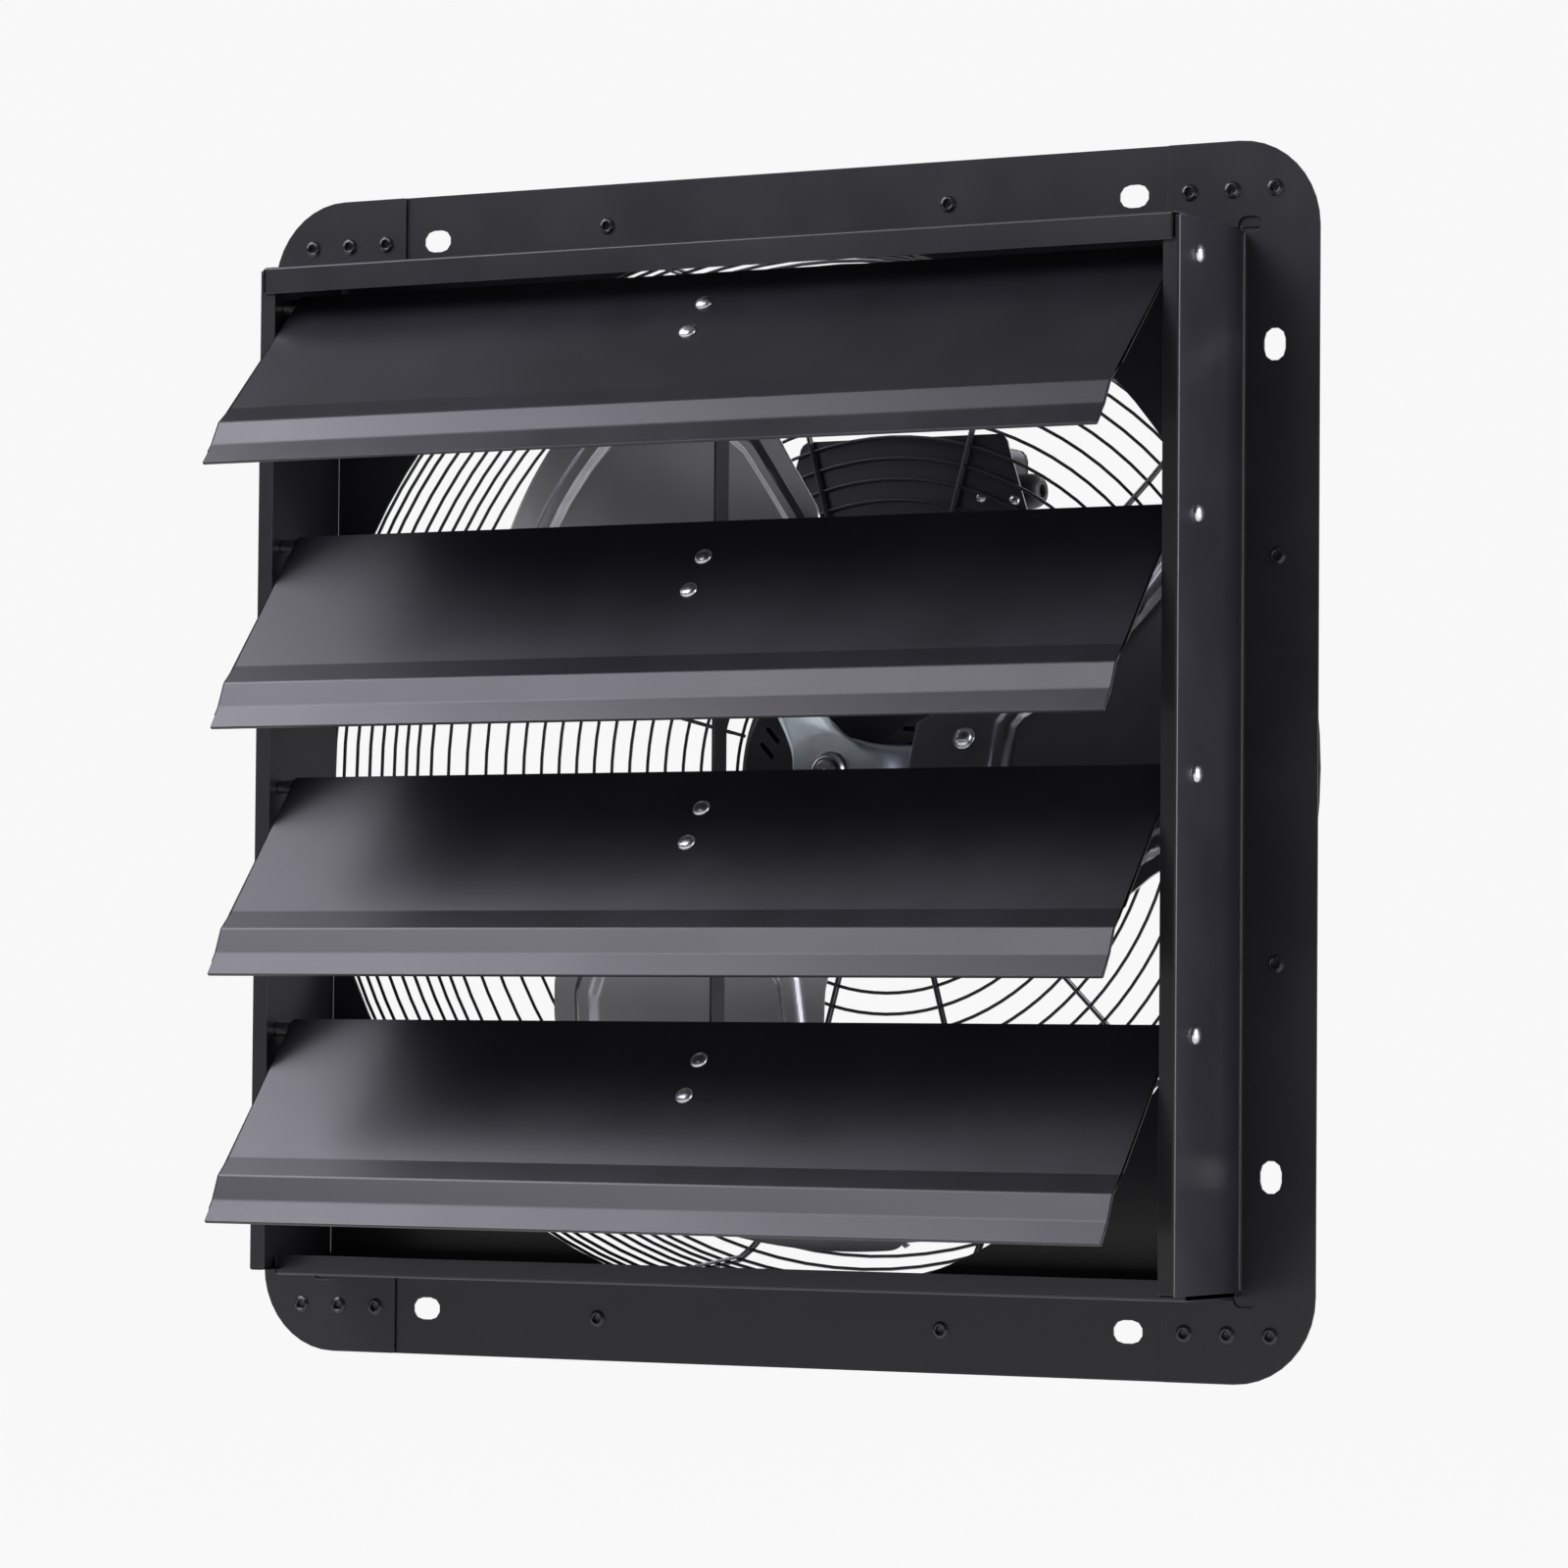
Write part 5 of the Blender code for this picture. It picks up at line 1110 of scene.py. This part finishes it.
BOLT_NUT = ((0.0030, 0.0034), (0.0050, 0.0034), (0.0056, 0.0038), (0.0056, 0.0058),
            (0.0050, 0.0062), (0.0030, 0.0062))
BOLT_OUT, BOLT_SIDE = 0.0720, 0.0150


class FAN_OT_hub(bpy.types.Operator):
    """Presses the three-armed spider, turns its bush and the shaft and sets the blade bolts"""
    bl_idname = "exhaust_fan.hub"
    bl_label = "Spider and bolts"

    def execute(self, context):
        arm = grid_of("spider_pattern", 16, 50, spider_point)
        arms = [copy_of(arm, f"arm_{i}", turn_of(i)) for i in range(BLADES)]
        bpy.data.objects.remove(arm)
        spider = merged(joined(arms), 0.0003)
        spider.name = spider.data.name = "hub_spider_pressed"
        thick(spider, SPIDER_SHEET, SPIDER_EDGE)
        smooth(spider, 40)
        hand_over(spider, "rotor", "spider_zinc", ["hub_spider"])

        low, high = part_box("hub_bush")
        nose, back, flange = low[1], high[1], high[0]
        soft = BUSH_CHAMFER
        collar = [(BUSH_NECK, BUSH_COLLAR_Y), (flange - soft, BUSH_COLLAR_Y),
                  (flange, BUSH_COLLAR_Y + soft), (flange, back - soft), (flange - soft, back),
                  (BUSH_BORE, back)]
        bush = lathe("hub_bush_turned", shifted(BUSH_NOSE, nose) + collar, 64, closed=True)
        hand_over(smooth(bush, 25), "rotor", "zinc_plate", ["hub_bush"])

        front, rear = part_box("motor_shaft")[0][1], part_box("motor_shaft")[1][1]
        profile = shifted(SHAFT_FRONT, front) + shifted(SHAFT_REAR, rear)
        shaft = lathe("motor_shaft_turned", profile, 48)
        hand_over(smooth(shaft, 25), "rotor", "bright_steel", ["motor_shaft"])

        pattern = lathe("bolt_pattern", shifted(BOLT_HEAD, BOLT_SEAT), 32)
        nut = lathe("nut", BOLT_NUT, 6, closed=True)
        pattern = smooth(joined([pattern, nut]), 40)
        tilt = Matrix.Rotation(-ROOT_PITCH, 4, "X")
        for number in range(2 * BLADES):
            side = -BOLT_SIDE if number % 2 == 0 else BOLT_SIDE
            place = Matrix.Translation((BOLT_OUT, blade_depth(BOLT_OUT, side), side)) @ tilt
            node = f"blade_bolt_{number + 1}"
            made = copy_of(pattern, node + "_turned", turn_of(number // 2) @ place)
            hand_over(made, "rotor", "zinc_plate", [node])
        bpy.data.objects.remove(pattern)
        return {"FINISHED"}


BELL_FRONT_Y = 0.0697
BELL_RADIUS = 0.0520
BELL_CAP_RADIUS = 0.0560
BELL_WALL, BELL_BEND = 0.0025, 0.0040
# Outlines as (radius, y): the boss and cap count y from the bell's face, the bearing seat from
# its inner face, a stud's head, nut and washer from the plate, its end from the clamp ring
BELL_BOSS = ((0.0063, -0.0006), (0.0150, -0.0006), (0.0160, 0))
BELL_CAP_EDGE = ((BELL_CAP_RADIUS, 0.0095), (BELL_CAP_RADIUS - 0.0008, 0.0103),
                 (BELL_RADIUS, 0.0103))
BEARING_SEAT = ((0.0138, 0), (0.0138, 0.006), (0.0113, 0.006), (0.0113, 0), (0.0063, 0))
# Vents: each spot of one sector is an obround slot along VENT_ALONG, through the bell's wall
VENT_GROUPS = 8
VENT_SPOTS = ((-0.0382, 0.0191), (-0.04135, 0.0117))
VENT_HALF, VENT_RADIUS = 0.0041, 0.0012
VENT_ALONG = (0.68, -0.73)
VENT_DEPTH = 0.016
PLATE_BORE, PLATE_RADIUS = 0.0112, 0.0800
CLAMP_BORE, CLAMP_RADIUS, CLAMP_SHEET = 0.0560, 0.0815, 0.0015
STUD_SEAT = -0.0003
STUD_HEAD = ((0, -0.0045), (0.0017, -0.0045), (0.0020, -0.0042))
STUD_END = ((0.0020, -0.0010), (0, -0.0010))
STUD_NUT = ((0.0020, -0.0030), (0.0039, -0.0030), (0.0045, -0.0026), (0.0045, 0), (0.0020, 0))
STUD_WASHER = ((0.0020, -0.0001), (0.0056, -0.0001), (0.0056, 0.0003), (0.0020, 0.0003))
STUDS, STUD_OUT = 4, 0.0740


def quarter(radius, y, bend, steps):
    """A quarter bend as (radius, y), from a flat face at y round to a wall."""
    return [(radius - bend + bend * math.sin(a), y + bend * (1 - math.cos(a)))
            for a in (math.pi / 2 * i / steps for i in range(steps + 1))]


def obround(spot, along, half, radius):
    """A slot's outline: two half circles whose middles lie half a length each way from a spot."""
    lean = math.atan2(along.y, along.x)
    return [Vector(spot) + along * s * half + Vector((math.cos(a), math.sin(a))) * radius
            for s, start in ((1, lean - math.pi / 2), (-1, lean + math.pi / 2))
            for a in (start + math.pi * i / 6 for i in range(7))]


class FAN_OT_motor(bpy.types.Operator):
    """Draws the front bell with its oblique vents, the plate and the clamp ring with their studs"""
    bl_idname = "exhaust_fan.motor"
    bl_label = "Motor"

    def execute(self, context):
        self.draw_bell()
        low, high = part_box("motor_plate")
        plate = ring_plate("motor_plate_pressed", PLATE_BORE, PLATE_RADIUS, low[1], high[1])
        hand_over(plate, "frame", "black_steel", ["motor_plate"])
        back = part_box("clamp_ring")[1][1]
        ring = ring_plate("clamp_ring_pressed", CLAMP_BORE, CLAMP_RADIUS, back - CLAMP_SHEET, back)
        hand_over(ring, "frame", "black_steel", ["clamp_ring"])

        seat = low[1] + STUD_SEAT
        profile = shifted(STUD_HEAD, seat) + shifted(STUD_END, back)
        stud = lathe("stud_pattern", profile, 20)
        nut = lathe("nut", shifted(STUD_NUT, seat), 6, closed=True)
        washer = lathe("washer", shifted(STUD_WASHER, seat), 24, closed=True)
        stud = smooth(joined([stud, nut, washer]), 35)
        for number in range(STUDS):
            angle = math.pi / 4 + number * 2 * math.pi / STUDS
            spot = (STUD_OUT * math.cos(angle), 0, STUD_OUT * math.sin(angle))
            made = copy_of(stud, f"clamp_stud_{number + 1}", Matrix.Translation(spot))
            hand_over(made, "frame", "zinc_plate")
        bpy.data.objects.remove(stud)
        return {"FINISHED"}

    def draw_bell(self):
        face, lip = BELL_FRONT_Y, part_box("motor_front_bell")[1][1]
        outer = quarter(BELL_CAP_RADIUS, face, BELL_BEND, 8) + shifted(BELL_CAP_EDGE, face)
        rim = [(BELL_RADIUS, lip), (BELL_RADIUS - BELL_WALL, lip)]
        inner = quarter(BELL_RADIUS - BELL_WALL, face + BELL_WALL, BELL_BEND, 6)[::-1]
        profile = (shifted(BELL_BOSS, face) + outer + rim + inner
                   + shifted(BEARING_SEAT, face + BELL_WALL))
        bell = lathe("motor_front_bell_drawn", profile, 96, closed=True)
        cutters = []
        along = Vector(VENT_ALONG).normalized()
        for group in range(VENT_GROUPS):
            turned = Matrix.Rotation(2 * math.pi * group / VENT_GROUPS, 2)
            for spot in VENT_SPOTS:
                slot = [turned @ v for v in obround(spot, along, VENT_HALF, VENT_RADIUS)]
                cutters.append(polygon("vent", [(x, face, z) for x, z in slot]))
                thick(cutters[-1], VENT_DEPTH)
        vents = merged(joined(cutters))
        cut_away(bell, vents)
        bpy.data.objects.remove(vents)
        smooth(bell, 35)
        hand_over(bell, "frame", "black_steel", ["motor_front_bell"])


def ring_plate(name, bore, radius, front, back, soft=0.0003):
    """A flat ring with softened cut edges."""
    profile = [(bore, front), (radius - soft, front), (radius, front + soft),
               (radius, back - soft), (radius - soft, back), (bore, back)]
    return smooth(lathe(name, profile, 128, closed=True), 50)


PIN_SHANK, PIN_SHOULDER = 0.0020, 0.0035
PIN_HEAD, PIN_HEAD_RISE = 0.0043, 0.0020
PIN_WALL_OUT, PIN_WALL_IN = WALL_X + 0.0003, WALL_X - 0.0013
PIN_TAIL_X = EAR_X - 0.0008 - 0.0015
PIN_BODY = (
    (PIN_SHANK, PIN_WALL_OUT), (PIN_SHANK, PIN_WALL_IN), (PIN_SHOULDER, PIN_WALL_IN),
    (PIN_SHOULDER, EAR_X + 0.0003), (PIN_SHANK, EAR_X + 0.0003), (PIN_SHANK, PIN_TAIL_X + 0.0004),
    (0.0016, PIN_TAIL_X), (0, PIN_TAIL_X),
)
LINK_HEADS = (0.0080, 0.0035, 0.0035, 0.0035)  # louver 1's hole is a slot, so its head is wide
LINK_HEAD = 0.0012
LINK_TAIL = ((PIN_SHANK, 0), (PIN_SHOULDER, 0), (0.0034, 0.0005))


class FAN_OT_pins(bpy.types.Operator):
    """Turns the louver pivot pins and the tie bar's link pins"""
    bl_idname = "exhaust_fan.pins"
    bl_label = "Pins"

    def execute(self, context):
        head = [(PIN_HEAD * math.sin(a), PIN_WALL_OUT + PIN_HEAD_RISE * math.cos(a))
                for a in (math.pi / 2 * i / 6 for i in range(7))]
        pattern = smooth(lathe("pin_pattern", head + list(PIN_BODY), 24), 40)
        for index, z in enumerate(LOUVER_PIVOTS_Z, 1):
            for side, label in ((-1, "left"), (1, "right")):
                turn = Matrix.Rotation(-side * math.pi / 2, 4, "Z")
                place = Matrix.Translation((0, LOUVER_PIVOT_Y, z)) @ turn
                node = f"pivot_pin_{index}_{label}"
                made = copy_of(pattern, node + "_turned", place)
                hand_over(made, "frame", "zinc_plate", [node])
        bpy.data.objects.remove(pattern)
        for index, wide in enumerate(LINK_HEADS, 1):
            node = f"link_pin_{index}"
            low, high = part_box(node)
            left, right = low[0] + LINK_HEAD, high[0] - LINK_HEAD
            profile = [(0, low[0]), (wide - 0.0012, low[0]), (wide - 0.0003, low[0] + 0.0005),
                       (wide, left), (PIN_SHANK, left), *shifted(LINK_TAIL, right),
                       (0.0026, high[0]), (0, high[0])]
            pin = smooth(lathe(node + "_turned", profile, 24), 40)
            y, height = (low[1] + high[1]) / 2, (low[2] + high[2]) / 2
            pin.data.transform(Matrix.Translation((0, y, height)) @ ALONG_X)
            hand_over(pin, f"louver_{index}", "zinc_plate", [node])
        return {"FINISHED"}


SIDES = (-1, 1)
CORNER_RIVET_SPOTS = tuple((sx * x, -0.0023, sz * 0.2578) for x in (0.2156, 0.2368, 0.2580)
                           for sx in SIDES for sz in SIDES)
EDGE_RIVET_SPOTS = tuple((sx * 0.0916, -0.0010, sz * 0.2600) for sx in SIDES for sz in SIDES)
SIDE_RIVET_SPOTS = tuple((sx * 0.2600, -0.0023, sz * 0.0916) for sx in SIDES for sz in SIDES)
# Each group's spots and the thickness of sheet that its rivets hold
FLANGE_RIVETS = ((CORNER_RIVET_SPOTS, 0.0024), (EDGE_RIVET_SPOTS, 0.0026),
                 (SIDE_RIVET_SPOTS, 0.0026))
BLIND_SHANK = 0.0021
BLIND_TAIL = ((BLIND_SHANK, 0), (0.0033, 0), (0.0036, 0.0010), (0.0030, 0.0022),
              (0.0016, 0.0026), (0, 0.0024))


def blind_rivet(name, grip, looks):
    """A black blind rivet along Y: domed head with a hollow middle, shank and rolled tail."""
    head, bore = looks.blind_head, looks.blind_bore
    top = [(0, 0.0008), (bore * 0.9, 0.0006), (bore, -0.0009), (bore * 1.25, -0.0012),
           (head * 0.86, -0.0009), (head, -0.0003), (head * 0.98, 0), (BLIND_SHANK, 0)]
    return smooth(lathe(name, top + shifted(BLIND_TAIL, grip), 20), 40)


class FAN_OT_flange_rivets(bpy.types.Operator):
    """Sets the black blind rivets of the flange"""
    bl_idname = "exhaust_fan.flange_rivets"
    bl_label = "Flange rivets"

    def execute(self, context):
        number = 0
        for spots, grip in FLANGE_RIVETS:
            pattern = blind_rivet("rivet_pattern", grip, context.scene.fan_fasteners)
            for spot in spots:
                number += 1
                made = copy_of(pattern, f"flange_rivet_{number:02d}", Matrix.Translation(spot))
                hand_over(made, "frame", "black_steel", material=black_rivet())
            bpy.data.objects.remove(pattern)
        return {"FINISHED"}


LOUVER_RIVET_RISE = 0.0020
LOUVER_RIVET_BODY = ((0.0021, 0), (0.0021, 0.0027), (0.0031, 0.0027), (0.0029, 0.0036),
                     (0, 0.0040))
LOUVER_RIVET_X, LOUVER_RIVET_V = -0.0010, 0.0032
LOUVER_RIVETS_U = (0.0194, 0.0404)


class FAN_OT_louver_rivets(bpy.types.Operator):
    """Sets two domed zinc rivets through each louver and its bracket"""
    bl_idname = "exhaust_fan.louver_rivets"
    bl_label = "Louver rivets"

    def execute(self, context):
        head = context.scene.fan_fasteners.louver_head
        dome = [(head * math.sin(a), -LOUVER_RIVET_RISE * math.cos(a))
                for a in (math.pi / 2 * i / 5 for i in range(6))]
        pattern = smooth(lathe("rivet_pattern", dome + list(LOUVER_RIVET_BODY), 24), 50)
        for index in range(len(LOUVER_ANGLES)):
            placed = louver_place(index)
            out = placed(0, 0, 1) - placed(0, 0, 0)
            turn = Vector((0, -1, 0)).rotation_difference(out).to_matrix().to_4x4()
            for row, u in enumerate(LOUVER_RIVETS_U, 1):
                place = Matrix.Translation(placed(LOUVER_RIVET_X, u, LOUVER_RIVET_V)) @ turn
                made = copy_of(pattern, f"louver_rivet_{index + 1}_{row}", place)
                hand_over(made, f"louver_{index + 1}", "zinc_plate")
        bpy.data.objects.remove(pattern)
        return {"FINISHED"}


SENSOR_WIDTH = 36
CLIP_END = 100
FLOOR_SIZE = 40
LAMPS = (  # name, place, size and radiance
    ("key_lamp", (-0.85, -1.15, 1.28), (1.7, 0.85), 5.4),
    ("side_lamp", (-1.35, -0.40, 1.00), (1.0, 1.0), 3.8),
    ("fill_lamp", (1.95, 0.25, 0.30), (1.3, 1.3), 6.5),
    ("rear_lamp", (0.4, 2.3, 1.3), (1.6, 1.2), 4.0),
)
FLOOR_GLOW, FLOOR_GLOW_SHARE = 1.092, 0.85
WORLD_DIFFUSE = 0.5
WORLD_GLOSSY = {"From Min": -0.5, "From Max": 0.5, "To Min": 0.085, "To Max": 0.18}


class FAN_OT_stage(bpy.types.Operator):
    """Sets the camera, floor, lamps and world"""
    bl_idname = "exhaust_fan.stage"
    bl_label = "Stage"

    def execute(self, context):
        scene = context.scene
        stage = scene.fan_stage
        self.set_camera(scene, stage)
        clear_selection()
        bpy.ops.mesh.primitive_plane_add(size=FLOOR_SIZE, location=(0, 0, -stage.floor_drop))
        floor = settle(named("floor"))
        floor.data.materials.append(pale_floor(tuple(stage.pale)))
        for name, place, size, radiance in LAMPS:
            lamp = bpy.data.lights.new(name, "AREA")
            lamp.shape = "RECTANGLE"
            lamp.size, lamp.size_y = size
            lamp.energy = radiance * math.pi * size[0] * size[1]
            lamp.color = stage.lamp_colour
            holder = bpy.data.objects.new(name, lamp)
            holder.location = place
            holder.rotation_euler = (-Vector(place)).to_track_quat("-Z", "Y").to_euler()
            scene.collection.objects.link(holder)
        pale_world(scene, tuple(stage.pale))
        scene.view_settings.view_transform = "Standard"
        return {"FINISHED"}

    def set_camera(self, scene, stage):
        eye, target = Vector(stage.eye), Vector(stage.target)
        ahead = (target - eye).normalized()
        right = ahead.cross(Vector((0, 0, 1))).normalized()
        up = right.cross(ahead)
        c, s = math.cos(stage.roll), math.sin(stage.roll)
        axes = Matrix((right * c + up * s, up * c - right * s, -ahead)).transposed()
        view = bpy.data.cameras.new("camera")
        view.lens = stage.lens
        view.sensor_width = SENSOR_WIDTH
        view.clip_end = CLIP_END
        camera = bpy.data.objects.new("camera", view)
        camera.matrix_world = Matrix.Translation(eye) @ axes.to_4x4()
        scene.collection.objects.link(camera)
        scene.camera = camera


def pale_floor(pale):
    """White to the camera and to reflections, with the fan's shadow from the diffuse part."""
    made = bpy.data.materials.new("pale_floor")
    made.use_nodes = True
    tree = made.node_tree
    tree.nodes.remove(tree.nodes["Principled BSDF"])
    out = tree.nodes["Material Output"]
    matt = add_node(tree, "ShaderNodeBsdfDiffuse", {"Color": (*pale, 1)})
    glow = add_node(tree, "ShaderNodeEmission", {"Color": (*pale, 1), "Strength": FLOOR_GLOW})
    rays = add_node(tree, "ShaderNodeLightPath")
    most = add_node(tree, "ShaderNodeMath", operation="MAXIMUM")
    most_of_all = add_node(tree, "ShaderNodeMath", operation="MAXIMUM")
    weight = add_node(tree, "ShaderNodeMath", operation="MULTIPLY")
    weight.inputs[1].default_value = FLOOR_GLOW_SHARE
    mixed = add_node(tree, "ShaderNodeMixShader")
    link = tree.links.new
    link(rays.outputs["Is Camera Ray"], most.inputs[0])
    link(rays.outputs["Is Glossy Ray"], most.inputs[1])
    link(most.outputs[0], most_of_all.inputs[0])
    link(rays.outputs["Is Transmission Ray"], most_of_all.inputs[1])
    link(most_of_all.outputs[0], weight.inputs[0])
    link(weight.outputs[0], mixed.inputs["Fac"])
    link(matt.outputs[0], mixed.inputs[1])
    link(glow.outputs[0], mixed.inputs[2])
    link(mixed.outputs[0], out.inputs["Surface"])
    return made


def pale_world(scene, pale):
    """Pale to the camera; dim to reflections, more so in front of the fan; and half to the rest."""
    world = bpy.data.worlds.new("studio")
    scene.world = world
    world.use_nodes = True
    tree = world.node_tree
    link = tree.links.new
    back = tree.nodes["Background"]
    back.inputs["Color"].default_value = (*pale, 1)
    rays = add_node(tree, "ShaderNodeLightPath")
    place = add_node(tree, "ShaderNodeTexCoord")
    split = add_node(tree, "ShaderNodeSeparateXYZ")
    link(place.outputs["Generated"], split.inputs[0])
    behind = add_node(tree, "ShaderNodeMapRange", WORLD_GLOSSY,
                      interpolation_type="SMOOTHSTEP")
    link(split.outputs["Y"], behind.inputs["Value"])
    glossy = add_node(tree, "ShaderNodeMath", operation="MAXIMUM")
    link(rays.outputs["Is Glossy Ray"], glossy.inputs[0])
    link(rays.outputs["Is Transmission Ray"], glossy.inputs[1])
    first = add_node(tree, "ShaderNodeMix")
    first.inputs["A"].default_value = WORLD_DIFFUSE
    link(glossy.outputs[0], first.inputs["Factor"])
    link(behind.outputs["Result"], first.inputs["B"])
    second = add_node(tree, "ShaderNodeMix")
    second.inputs["B"].default_value = 1
    link(rays.outputs["Is Camera Ray"], second.inputs["Factor"])
    link(first.outputs["Result"], second.inputs["A"])
    link(second.outputs["Result"], back.inputs["Strength"])


class FAN_PT_panel(bpy.types.Panel):
    """Builds the fan piece by piece"""
    bl_idname = "FAN_PT_panel"
    bl_label = "Exhaust Fan"
    bl_space_type = "VIEW_3D"
    bl_region_type = "UI"
    bl_category = "Exhaust Fan"

    def draw(self, context):
        for operator in OPERATORS:
            self.layout.operator(operator.bl_idname)
        for group in GROUPS:
            box = self.layout.box()
            box.label(text=GROUPS[group].__doc__)
            for name in GROUPS[group].__annotations__:
                box.prop(getattr(context.scene, group), name)


GROUPS = {
    "fan_finishes": FanFinishes, "fan_sheet": FanSheet, "fan_guard": FanGuard,
    "fan_fasteners": FanFasteners, "fan_blades": FanBlades, "fan_stage": FanStage,
}
OPERATORS = (
    FAN_OT_plain_nodes, FAN_OT_sheet_frame, FAN_OT_louvers, FAN_OT_small_sheet,
    FAN_OT_box_fittings, FAN_OT_wire_guard, FAN_OT_blades, FAN_OT_hub, FAN_OT_motor,
    FAN_OT_pins, FAN_OT_flange_rivets, FAN_OT_louver_rivets, FAN_OT_stage,
)


def register():
    for item in (*GROUPS.values(), *OPERATORS, FAN_PT_panel):
        bpy.utils.register_class(item)
    for name, group in GROUPS.items():
        setattr(bpy.types.Scene, name, PointerProperty(type=group))


def unregister():
    for name in GROUPS:
        delattr(bpy.types.Scene, name)
    for item in (FAN_PT_panel, *reversed(OPERATORS), *GROUPS.values()):
        bpy.utils.unregister_class(item)


def main():
    register()
    for operator in OPERATORS:
        group, name = operator.bl_idname.split(".")
        getattr(getattr(bpy.ops, group), name)()


if __name__ == "__main__":
    main()
